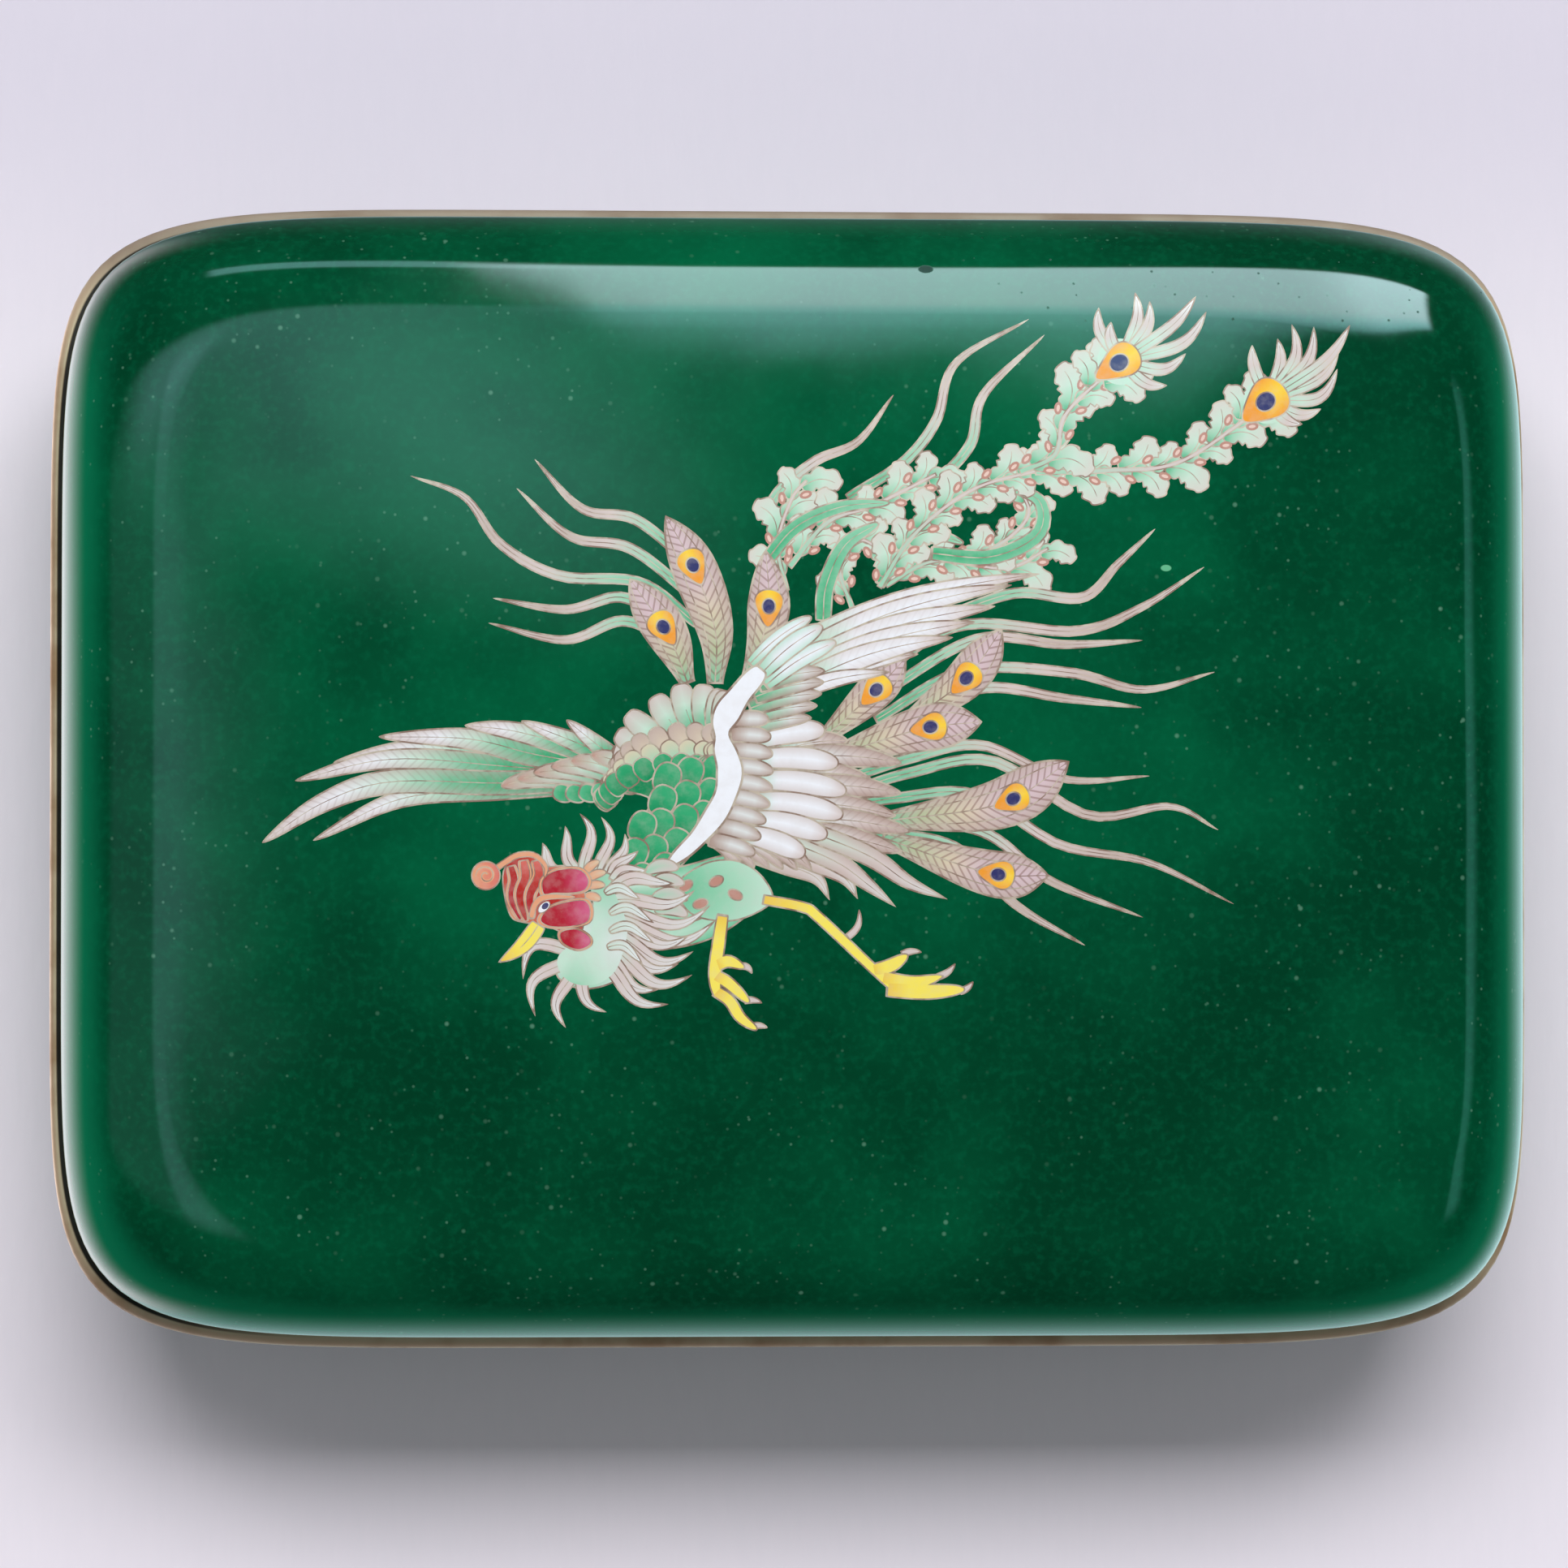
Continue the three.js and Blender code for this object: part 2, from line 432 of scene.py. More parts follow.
def draw_plume(picture, points, leaves, reach, half=0.3):
    """A stem with lobed leaves on both sides and a berry at the foot of each."""
    leaf_lean, berry_lean, berry_gap = 0.76, 0.5, 0.56
    stem = through(points, 72)
    ahead, left = frame_of(stem)
    walked = walked_along(stem)
    berries = []
    for index, side in itertools.product(range(leaves), (1, -1)):
        share = (index + 0.6 - 0.22 * side) / leaves
        at = int(np.searchsorted(walked, walked[-1] * share * 0.97))
        heading = math.atan2(ahead[at][1], ahead[at][0])
        length = reach * (1.04 + 0.16 * math.sin(2.3 * index + side + points[0][0]))
        draw_leaf(picture, stem[at] + left[at] * side * 0.1, heading + leaf_lean * side, length, side)
        centre = stem[at] + left[at] * side * (half + berry_gap) - ahead[at] * 0.15
        berries.append((centre, heading + berry_lean * side))
    width = half * np.linspace(1.0, 0.6, len(stem))
    tones = [(0, MINT), (0.5, ROSE_GREY), (1, ROSE_GREY)]
    picture.lay(Field(thickened(stem, width), tones, None, stem, width), wire=0.11)
    for centre, heading in berries:
        draw_berry(picture, centre, heading)


def draw_eye(picture, centre, heading, size, roundness):
    """A golden drop with a navy pupil, its point towards the foot of the feather."""
    pupil = size * 0.36
    angle = np.linspace(0, 2 * math.pi, 40, endpoint=False)
    drop = np.stack([np.cos(angle), np.sin(angle) * (roundness + 0.24 * np.cos(angle))], axis=1) * size
    drop[:, 0] -= 0.42 * size * np.clip(-np.cos(angle), 0, 1) ** 3
    spine = turned(sway((-1.3 * size, 0), (size, 0), count=10), heading) + centre
    tones = [(0, ORANGE), (0.3, ORANGE), (0.52, GOLD), (1, GOLD)]
    picture.lay(Field(turned(drop, heading) + centre, tones, ORANGE, spine, size * 0.9), wire=0.14)
    middle = centre - towards(heading) * 0.08 * size
    picture.wire(disc(middle, pupil + 0.13, 22, 1.16, heading))
    picture.inlay(Field(disc(middle, pupil, 20, 1.2, heading), NAVY))


def draw_eye_feather(picture, points, half, eye_share):
    """A pointed tail feather with herringbone barbs and a golden eye."""
    line = through(points, 30)
    tones = [(0, DEEP_MINT), (0.18, OLIVE), (0.42, CREAM), (0.6, LILAC), (1, LILAC)]
    field = blade(line, half * 1.06, tones, edge=MAUVE, shape=(1.5, 0.95, 0.36), barbs=1.0)
    picture.lay(field, wire=0.18, shaft=0.95)
    ahead, left = frame_of(line)
    for side in (0.55, -0.55):
        picture.stroke((line + left * (field.half * side)[:, None])[2:27], 0.11)
    at = int(np.searchsorted(eased(30), eye_share))
    draw_eye(picture, line[at], math.atan2(ahead[at][1], ahead[at][0]), 1.45, 0.9)


def draw_flames(picture, eye, tufts):
    """The curling tufts round the eye of a long plume, as (tip, bow)."""
    tones = [(0, MINT), (0.4, PALE_MINT), (0.65, ROSE_GREY), (1, MILK)]
    picture.inlay(Field(disc(eye, 2.1, 32), PALE_MINT))
    look = {"edge": ROSE_GREY, "shape": (0.8, 0.8, 0.6), "depth": 0.7}
    for tip, bow in tufts:
        picture.feather(sway(eye, tip, bow, -0.22 * bow, count=30), 0.6, tones, FINE_WIRE, 0.8, **look)


def draw_scrolls(picture):
    """The leafy mass above the near wing, with plain green ribbons through it."""
    green = [(0, LEAF), (0.6, DEEP_MINT), (1, MINT)]
    look = {"edge": MINT, "shape": (0.2, 0.35, 0.7), "depth": 0.6}
    for points, leaves, reach, half in (
        ([(-0.8, 16.5), (-1.6, 20.6), (-0.4, 24.6), (1, 26.4)], 3, 3.3, 0.26),
        ([(5, 15), (3.9, 18.6), (5.6, 21), (7.6, 20.2)], 3, 3.0, 0.26),
        ([(8, 17), (12.4, 19.2), (18.8, 18.6), (22.6, 20.4)], 5, 3.3, 0.26),
        ([(-0.6, 18.6), (2.8, 22.6), (7, 24.2), (12.6, 27)], 5, 3.2, 0.3),
        ([(14, 19), (18, 20.6), (20.8, 23.4), (19.6, 26.4)], 4, 3.0, 0.26),
    ):
        draw_plume(picture, points, leaves, reach, half)
    for points, half in (
        ([(2.4, 13.8), (2.7, 17), (4.4, 20.6), (7.4, 22.6)], 0.8),
        ([(-2.8, 19), (0, 22.2), (4, 24), (8.4, 24.4)], 0.7),
        ([(12, 19.9), (17.4, 19.6), (21.6, 21.6), (21.8, 24.6), (18.6, 26)], 0.75),
        ([(7.4, 17), (9.6, 20), (12.6, 21.4), (15, 20.8)], 0.6),
    ):
        picture.feather(through(points, 32), half, green, shaft=0.9, **look)
    draw_plume(picture, [(7.4, 16.8), (10.6, 21.6), (15.8, 25.6), (21.8, 27.4)], 7, 3.3, 0.28)


def draw_long_plume(picture, stem, leaves, reach, collar, eye, heading, size, roundness, tufts):
    """A leafy plume with a collar of leaves and a flaming eye at its end."""
    draw_plume(picture, stem, leaves, reach)
    for shift, leaf_heading, leaf_reach, side in (
        ((1.4, 0.2), -0.42, 3.8, -1),
        ((0.6, 0.6), 1.5, 3.9, 1),
        ((0, 0), 2.0, 3.2, 1),
    ):
        draw_leaf(picture, np.add(collar, shift), leaf_heading, leaf_reach, side)
    draw_flames(picture, eye, tufts)
    draw_eye(picture, np.array(eye), math.radians(heading), size, roundness)


def draw_tail(picture):
    """Streamers, the leafy scrolls, the two long plumes and the eye feathers."""
    draw_streamers(picture, TO_LEFT)
    draw_streamers(picture, TO_TOP)
    draw_scrolls(picture)
    lower_stem = [(21.4, 27.2), (28, 27.4), (34.4, 28.2), (41.5, 32.8)]
    upper_stem = [(20, 27.2), (23.2, 28.8), (24.2, 32.4), (28, 36.2)]
    lower_tufts = [
        ((41.1, 38.8), 0.06), ((47.3, 33.1), -0.16), ((45.6, 31.7), -0.12), ((43.4, 39.4), -0.1),
        ((46.6, 37.4), -0.1), ((44.7, 40.7), -0.16), ((48.8, 36.7), -0.22), ((46.7, 40.5), -0.14),
        ((49.0, 38.8), -0.14), ((50.0, 40.7), -0.08),
    ]
    upper_tufts = [
        ((27.3, 42.1), 0.12), ((33.4, 35.1), -0.14), ((28.4, 40.8), 0.1), ((32.6, 39.9), -0.1),
        ((30.6, 43.5), -0.1), ((35.1, 38.0), -0.18), ((31.9, 42.7), -0.12), ((37.0, 41.8), -0.14),
        ((36.1, 43.2), -0.06),
    ]
    draw_long_plume(picture, lower_stem, 7, 3.5, (39.9, 32), (42.4, 33.8), 40, 2.05, 0.92, lower_tufts)
    draw_long_plume(picture, upper_stem, 4, 3.9, (26.2, 35), (29.2, 37.2), 34, 1.95, 0.8, upper_tufts)
    draw_streamers(picture, TO_RIGHT)
    for points, half, share in (
        ([(-7.2, 8.2), (-7.2, 13), (-9.1, 18.6), (-11.6, 23.2)], 1.95, 0.65),
        ([(-9.6, 8.2), (-11.4, 12.6), (-14.8, 17.6)], 1.85, 0.56),
        ([(-4.2, 8.8), (-2.9, 12.6), (-2.4, 15.6), (-2.7, 20.2)], 1.8, 0.63),
        ([(2, 3), (6.6, 7.2), (9.8, 10.6)], 1.6, 0.55),
        ([(9.5, 4.6), (15, 8.6), (18.4, 13.2)], 1.8, 0.52),
        ([(2.6, 1.6), (11, 4.2), (16.6, 4.9)], 2.0, 0.54),
        ([(7.6, -4), (18.2, -2.4), (24.4, 1.4)], 2.2, 0.55),
        ([(7.6, -5.4), (17, -8.5), (22.6, -8.8)], 2.0, 0.54),
    ):
        draw_eye_feather(picture, points, half, share)


# -- the wings and the body


def draw_scale(picture, centre, heading, radius, tones, wire=0.16):
    """One round-ended scale that faces along its heading. Its sides have the colour of its end."""
    reach = towards(heading) * radius
    line = sway(centre - reach * 1.25, centre + reach, count=16)
    picture.feather(line, radius * 0.98, tones, wire, edge=tones[-1][1], shape=(0.45, 0.4, 0.3), depth=0.5)


def draw_far_wing(picture):
    """The wing spread to the left: long primaries, a fringe, an arm of coverts and a row of scales."""
    tones = [(0, EMERALD), (0.3, LEAF), (0.44, DEEP_MINT), (0.6, PALE_MINT), (0.75, WHITE), (1, ROSE_GREY)]
    look = {"edge": MAUVE, "shape": (0.4, 0.6, 0.6), "barbs": 0.3, "depth": 0.75}
    for points, half in (
        ([(-16, 0.4), (-26, 1.6), (-34, 2.3), (-41, 1.2)], 1.1),
        ([(-16, 0), (-26, 0.9), (-36, 1.5), (-44.4, -0.4)], 1.05),
        ([(-16, -0.6), (-26, -1.2), (-35, -2), (-42.8, -5.7)], 0.95),
        ([(-16, -0.2), (-26, -0.6), (-36, -0.5), (-42, -2.4), (-47.3, -5.9)], 1.15),
        ([(-16, 0.8), (-23, 1.9), (-29, 3.3), (-37, 3.5)], 1.15),
        ([(-15.6, 0.8), (-20, 2.6), (-25, 4), (-29.4, 4.5)], 1.0),
        ([(-15.2, 0.8), (-18.6, 2.6), (-24.4, 4.9)], 0.95),
        ([(-14.6, 0.6), (-17.4, 2.6), (-20.4, 5)], 0.85),
    ):
        picture.feather(through(points, 34), half, tones, shaft=0.9, **look)
    arm = [(0, DEEP_MINT), (0.5, PALE_MINT), (1, BERRY)]
    for root, tip in fan(((-20, -0.6), (-13, 0.4)), ((-26.2, -0.9), (-16.4, 2.4)), 7, 0.1):
        picture.feather(sway(root, tip, -0.08), 0.82, arm, shaft=0.8, edge=MAUVE, shape=(0.5, 0.5, 0.6))
    for index in range(7):
        place = np.array([-20.8 + index * 1.15, -1.25 + 0.5 * math.sin(index * 0.45 + 3.6) + 0.14 * index])
        draw_scale(picture, place, 2.8, 0.86, [(0, EMERALD), (0.6, LEAF), (1, DEEP_MINT)])


def draw_body(picture):
    """The fan of the far shoulder, rows of small scales, and the scaled neck."""
    tones = [(0, EMERALD), (0.4, DEEP_MINT), (0.68, PALE_MINT), (1, ROSE_GREY)]
    tips = through([(-16.3, 2), (-15.6, 5), (-12.6, 7.2), (-9.6, 8.4), (-6, 7.6)], 9)
    look = {"edge": MAUVE, "shape": (0.7, 0.3, 0.5), "depth": 0.6}
    for index, tip in enumerate(tips):
        root = (-10.5 + index * 0.5, 1.4 + 0.2 * index)
        picture.feather(sway(root, tip, 0.06), 1.15, tones, shaft=0.6, **look)
    ground = [
        (-15.6, -1), (-14, 2.2), (-9, 3.4), (-5.4, 3), (-5.6, -1), (-8.4, -5.8), (-11, -8.6), (-14.4, -9.4),
        (-14.9, -5.6), (-13, -2.2),
    ]
    picture.lay(Field(ring_through(ground, 48), EMERALD))
    row = through([(-15.8, 0.9), (-13.9, 2.9), (-10.4, 3.9), (-6.4, 3.7)], 11)
    for offset, radius, root_tone, end_tone in (
        (0, 0.92, CREAM, MAUVE), (-1.5, 0.9, MINT, CREAM), (-2.8, 1.0, EMERALD, LEAF)
    ):
        for place in row + np.array([0.45, 1.0]) * offset:
            draw_scale(picture, place, 2.2, radius, [(0, root_tone), (1, end_tone)], FINE_WIRE)
    for place in (
        (-7.2, 0.7), (-9.4, 0.5), (-11.4, 0), (-7.6, -1.4), (-9.7, -1.6), (-11.8, -2), (-8.2, -3.4),
        (-9.9, -3.7), (-12, -4.1), (-13.6, -4.3), (-10.6, -5.8), (-12.6, -6.4), (-14.3, -6.7), (-11.6, -8),
        (-13.6, -8.9),
    ):
        draw_scale(picture, np.array(place), 1.15, 1.3, [(0, EMERALD), (0.7, LEAF), (1, LEAF)])


def draw_near_wing(picture):
    """The raised wing: primaries swept up to the right, secondaries, coverts and the white band."""
    tones = [(0, MINT), (0.22, PALE_MINT), (0.36, WHITE), (0.76, WHITE), (0.9, ROSE_GREY), (1, TAUPE)]
    look = {"edge": ROSE_GREY, "shape": (0.4, 0.7, 0.7), "barbs": 0.1, "depth": 0.6}
    for root, tip, half in (
        ((-2.4, 10.4), (21.8, 18.1), 1.0),
        ((-1.4, 9.8), (19.3, 17.1), 1.1),
        ((-0.8, 9), (17.8, 15.2), 1.2),
        ((-0.8, 8.2), (16, 13.8), 1.15),
        ((-1, 7.4), (10.9, 10.9), 1.0),
        ((-0.6, 7.7), (14, 12.4), 1.1),
        ((-1.6, 6.8), (8.4, 9.3), 0.8),
    ):
        picture.feather(sway(root, tip, 0.055, count=30), half, tones, shaft=0.95, **look)
    lower = [(0, MINT), (0.35, MILK), (0.65, ROSE_GREY), (1, MAUVE)]
    look = {"edge": TAUPE, "shape": (0.45, 0.6, 0.7), "barbs": 0.3}
    for root_y, tip in (
        (2.2, (4.6, 3.2)), (1.4, (9.4, 1.2)), (0.2, (6.8, -0.4)), (-1.2, (9.4, -1.5)), (-2.6, (8.9, -3.5)),
        (-4, (10.2, -4.9)), (-5, (9.4, -6.7)),
    ):
        picture.feather(sway((-1.6, root_y), tip, 0.05, count=26), 1.1, lower, shaft=0.92, **look)
    spike = [(0, PALE_MINT), (0.5, ROSE_GREY), (1, MILK)]
    for points in (
        [(-5, -6.4), (-1, -7.8), (1.8, -9), (3, -11)],
        [(-3, -6), (1.6, -7.6), (4.3, -9), (5.5, -10.9)],
        [(-1, -5.6), (3.6, -7.6), (6.4, -9.6), (8.9, -11.6)],
        [(1, -4.8), (6.4, -7), (10, -9.4), (13.5, -10.9)],
    ):
        picture.feather(through(points, 30), 0.95, spike, shaft=0.9, edge=MAUVE, shape=(0.3, 0.9, 0.9))
    for root, tip in fan(((-7.8, -5.4), (-3.4, -5.4)), ((-5, -8.1), (1.4, -8.4)), 6):
        picture.feather(sway(root, tip, 0.1), 0.72, lower, edge=TAUPE, shape=(0.5, 0.6, 0.7), shaft=0.8)
    snowy = [(0, MINT), (0.3, WHITE), (0.8, WHITE), (1, ROSE_GREY)]
    for root, tip in (
        ((-4, 3), (2.6, 4.1)), ((-4.2, 1.4), (3.8, 1.1)), ((-4.2, -0.4), (4.5, -1.4)),
        ((-4.4, -2.2), (4.2, -3.5)), ((-4.8, -3.8), (2.8, -5.3)), ((-5.2, -5), (0.8, -7)),
    ):
        line = sway(root, tip, 0.05, count=26)
        picture.feather(line, 1.08, snowy, edge=MAUVE, shape=(0.7, 0.42, 0.6), depth=0.6)
    mixed = [(0, LEAF), (0.35, MINT), (0.7, MILK), (1, MAUVE)]
    for root, tip in fan(((-5, 4), (-3.4, 8)), ((1.4, 5.2), (2.6, 9.4)), 5, 0.05):
        picture.feather(sway(root, tip, 0.05), 0.85, mixed, edge=TAUPE, shape=(0.5, 0.6, 0.7), shaft=0.85)
    small = [(0, TAUPE), (0.45, MILK), (0.7, MILK), (1, MAUVE)]
    for root, tip in fan(((-7.8, -5.6), (-5.6, 5)), ((-3.6, -6.9), (-2.4, 5)), 9, 0.25):
        picture.feather(sway(root, tip, 0.04), 0.8, small, edge=TAUPE, shape=(0.5, 0.45, 0.7), depth=0.9)
    look = {"edge": MINT, "shape": (0.6, 0.45, 0.6), "depth": 0.6}
    for root, tip, half in (
        ((-4.2, 9.9), (1.4, 14.2), 0.7),
        ((-2.8, 8), (3.6, 12), 0.85),
        ((-3.2, 9), (2.4, 13.4), 0.95),
    ):
        picture.feather(sway(root, tip, 0.05), half, snowy, shaft=0.8, **look)
    draw_white_band(picture)


def draw_white_band(picture):
    """The white band down the near wing's shoulder, with a waist in its upper part."""
    count = 70
    places = [
        (-11.4, -7.9), (-8.7, -5.4), (-6.6, -2.4), (-5.9, 0.4), (-6.5, 2.9), (-6.5, 4.8), (-5.2, 7),
        (-3, 9.6),
    ]
    line = through(places, count)
    share = eased(count)
    waist = 0.42 * np.exp(-(((share - 0.62) / 0.07) ** 2))
    ripple = 0.05 * np.sin(share * 34)
    half = 1.25 * bulge(count, 0.34, 0.2) * (1 - waist) * (1 + ripple)
    picture.lay(Field(thickened(line, half), WHITE, None, line, half), wire=BOLD_WIRE)


def draw_belly(picture):
    """Breast and thigh, with small oval curls on them."""
    breast = [(0, MINT), (1, PALE_MINT)]
    for points, half in (
        ([(-4, -10.4), (-8, -13), (-13.8, -14.8)], 1.5),
        ([(-5, -9), (-9.6, -11.4), (-14.6, -12)], 1.6),
        ([(-6, -8), (-10, -9.2), (-15, -9.8)], 1.3),
    ):
        picture.feather(through(points, 26), half, breast, edge=DEEP_MINT, shape=(0.4, 0.4, 0.8))
    thigh = [
        (-10.6, -9.6), (-8.2, -7.7), (-5.4, -7.4), (-3.2, -8.6), (-2, -10.7), (-3.2, -12), (-6, -12.9),
        (-9.4, -12.2),
    ]
    spine = sway((-10.4, -10), (-2.2, -10.6), count=10)
    tones = [(0, DEEP_MINT), (0.5, MINT), (1, PALE_MINT)]
    picture.lay(Field(ring_through(thigh, 48), tones, PALE_MINT, spine, 3.2, depth=0.5))
    for centre, turn in (
        ((-7.1, -9.3), 0.5), ((-5.4, -10.5), -0.5), ((-8.5, -11.3), 0.3), ((-9.8, -9.7), 0.6),
    ):
        picture.lay(Field(disc(centre, 0.5, 18, 1.5, turn), BERRY), wire=FINE_WIRE)
    for root, tip in fan(((-13.4, -8.6), (-12.6, -12)), ((-10.4, -8.2), (-9.6, -12.4)), 4, 0.1):
        picture.feather(sway(root, tip, 0.16), 0.66, [(0, MINT), (1, ROSE_GREY)], FINE_WIRE, edge=ROSE_GREY)


def draw_legs(picture):
    """Yellow legs and feet with pale claws."""
    skin = [(0, OCHRE), (0.3, LEMON), (1, LEMON)]
    for claw in (
        ((-5, -16.8), (-3.9, -17.5), 0.2), ((-4.6, -19.9), (-3, -20.1), 0.1),
        ((-4, -22.2), (-2.5, -22.3), 0.1), ((9.4, -15.8), (11.2, -15.6), 0.1),
        ((12.6, -17.8), (14.2, -16.6), -0.1), ((14.6, -19.1), (15.8, -18.2), -0.1),
        ((4.5, -14.3), (5.6, -11.8), -0.18),
    ):
        picture.feather(sway(*claw), 0.34, ROSE_GREY, wire=0.12, shape=(0.2, 0.6, 0.9))
    left = (
        ([(-6.5, -12.2), (-6.9, -15), (-7.2, -17.6), (-7, -19.6)], 30, 0.64, (0.3, 0.3, 0.7)),
        ([(-7.1, -16.8), (-6, -16.4), (-4.5, -17)], 16, 0.62, (0.3, 0.5, 0.8)),
        ([(-7.2, -17.6), (-5.9, -18.4), (-4.1, -20.1)], 18, 0.6, (0.3, 0.4, 0.8)),
        ([(-7.2, -19), (-5.9, -19.9), (-4.9, -21.4), (-3.4, -22.5)], 20, 0.58, (0.3, 0.4, 0.9)),
    )
    right = (
        ([(-3, -10.9), (0.6, -11.6), (2, -12.5), (6.6, -16.8), (9.4, -19.4)], 44, 0.52, (0.1, 0.14, 0.7)),
        ([(6.8, -17.2), (8.4, -16.8), (10, -15.8)], 18, 0.68, (0.4, 0.5, 0.6)),
        ([(7.6, -17.8), (10.4, -18.3), (13.2, -17.7)], 20, 0.68, (0.4, 0.6, 0.7)),
        ([(8, -18.9), (11.6, -19.1), (15.1, -18.9)], 20, 0.75, (0.3, 0.4, 0.8)),
    )
    for leg in (left, right):
        toes = [blade(through(points, count), half, skin, shape=shape) for points, count, half, shape in leg]
        picture.lay(*toes, wire=0.14)


# -- the head


def draw_tufts(picture, tufts, half, tones, foot=0.8):
    """Curved pointed plumes, as (root, tip, bow)."""
    look = {"edge": ROSE_GREY, "shape": (0.35, 0.8, foot), "depth": 0.8}
    for root, tip, bow in tufts:
        picture.feather(sway(root, tip, bow, 0.05, count=24), half, tones, FINE_WIRE, 0.75, **look)


def draw_head(picture):
    """Crest, ruff, throat, face, comb, wattle and beak."""
    pale = [(0, PALE_MINT), (0.3, ROSE_GREY), (0.8, MILK), (1, MILK)]
    crest = [
        ((-20.9, -8.6), (-22.5, -5.9), 0.14), ((-19.4, -8.4), (-20.5, -4.4), 0.1),
        ((-18.9, -8.4), (-19.2, -3.3), -0.16), ((-17.8, -8.6), (-17.3, -3.6), -0.18),
        ((-16.8, -8.8), (-15.2, -5.1), -0.1), ((-16.4, -9.2), (-14, -6.6), 0.12),
    ]
    throat = [
        (-18.4, -8.4), (-16, -8.8), (-14.4, -10.4), (-13.4, -13), (-14.2, -16), (-16, -18.2), (-19, -18.9),
        (-21.2, -17.8), (-21, -15.8), (-19.4, -13.4), (-18, -11),
    ]
    ruff = [
        ((-16.2, -9.4), (-13.2, -8.3), 0.16), ((-16.4, -10.2), (-10.8, -9.5), 0.14),
        ((-16.4, -11), (-9, -10.1), -0.1), ((-16.4, -11.8), (-7.6, -11.4), -0.16),
        ((-16.2, -12.6), (-7.1, -12.7), -0.2), ((-16.2, -13.2), (-9.4, -14), -0.16),
        ((-16, -13.9), (-9.1, -15.5), -0.2), ((-16.2, -14.6), (-10.4, -16.6), -0.18),
        ((-16.2, -15.2), (-9.2, -17.6), -0.22), ((-16.8, -15.8), (-12.2, -18.9), -0.16),
        ((-17.2, -16.2), (-11.3, -20.2), -0.16),
    ]
    chin = [
        ((-19.6, -15.6), (-24.2, -18.0), -0.42), ((-19.6, -16.2), (-23.1, -21.3), -0.3),
        ((-19.4, -17), (-20.4, -22.3), -0.22), ((-19.4, -16.6), (-16.8, -20.9), -0.18),
    ]
    crop = [
        (-18.2, -9.6), (-16.8, -9.4), (-15.8, -11), (-15, -13.2), (-15.2, -15), (-16, -17.2), (-17.6, -18.4),
        (-19.6, -18.4), (-20.9, -17.4), (-21.1, -16), (-19.8, -14.8), (-18.2, -13.8), (-17.9, -11.6),
    ]
    short = [
        ((-17, -10.4), (-13.8, -10.9), 0.2), ((-16.6, -12.2), (-12.6, -13), 0.2),
        ((-16.6, -13.8), (-12.6, -14.8), 0.2), ((-16.8, -15.2), (-13.6, -16.6), 0.2),
    ]
    draw_tufts(picture, crest, 0.56, pale)
    tones = [(0, MINT), (0.55, PALE_MINT), (1, MINT)]
    picture.lay(Field(ring_through(throat, 54), tones, MILK, sway((-17.4, -9), (-19.4, -19), 0.2), 3.4))
    draw_tufts(picture, ruff, 0.66, pale)
    draw_tufts(picture, chin, 0.6, pale)
    tones = [(0, MINT), (0.5, MILK), (0.8, PALE_MINT), (1, MINT)]
    spine = sway((-17.2, -9.6), (-19.4, -18.6), 0.3)
    picture.inlay(Field(ring_through(crop, 54), tones, PALE_MINT, spine, 2.2))
    draw_tufts(picture, short, 0.5, [(0, PALE_MINT), (1, WHITE)], 0.15)
    draw_face(picture)


def draw_lobe(picture, loop, tones, spine):
    """A smooth lobe with a peach border."""
    loop = ring_through(loop, 36)
    middle = loop.mean(axis=0)
    picture.lay(Field(middle + (loop - middle) * 1.13, PEACH), wire=HAIR_WIRE)
    picture.lay(Field(loop, tones, CRIMSON, sway(*spine, count=10), 1.4, depth=0.5), wire=HAIR_WIRE)


def draw_face(picture):
    """Peach fringe, comb, crimson lobes, eye and beak."""
    for root, tip in (
        ((-18.9, -8.8), (-17.4, -7.5)), ((-18.7, -9.3), (-16.8, -8.5)), ((-18.7, -9.9), (-16.9, -9.7)),
        ((-18.8, -10.6), (-17.3, -11)),
    ):
        picture.feather(sway(root, tip, 0.1), 0.44, [(0, PEACH), (1, CREAM)], wire=0.11, edge=PEACH)
    draw_comb(picture)
    draw_lobes(picture)
    draw_curl(picture)
    brow = through([(-23.5, -12.6), (-23.1, -11.3), (-22.1, -10.7), (-19.6, -10.7)], 24)
    picture.feather(brow, 0.3, PEACH, wire=0.08, shape=(0.3, 0.4, 0.5))
    picture.lay(Field(disc((-22.35, -11.6), 0.4, 18, 1.7, 0.75), WHITE), wire=0.08)
    picture.inlay(Field(disc((-22.25, -11.5), 0.25, 14, 1.4, 0.75), NAVY))
    beak = sway((-22.8, -13.1), (-26.4, -16.5), 0.08, count=22)
    picture.feather(beak, 0.8, [(0, LEMON), (0.5, LEMON), (1, OCHRE)], wire=0.12, shape=(0.3, 0.75, 0.7))
    picture.stroke(beak[2:12], HAIR_WIRE)


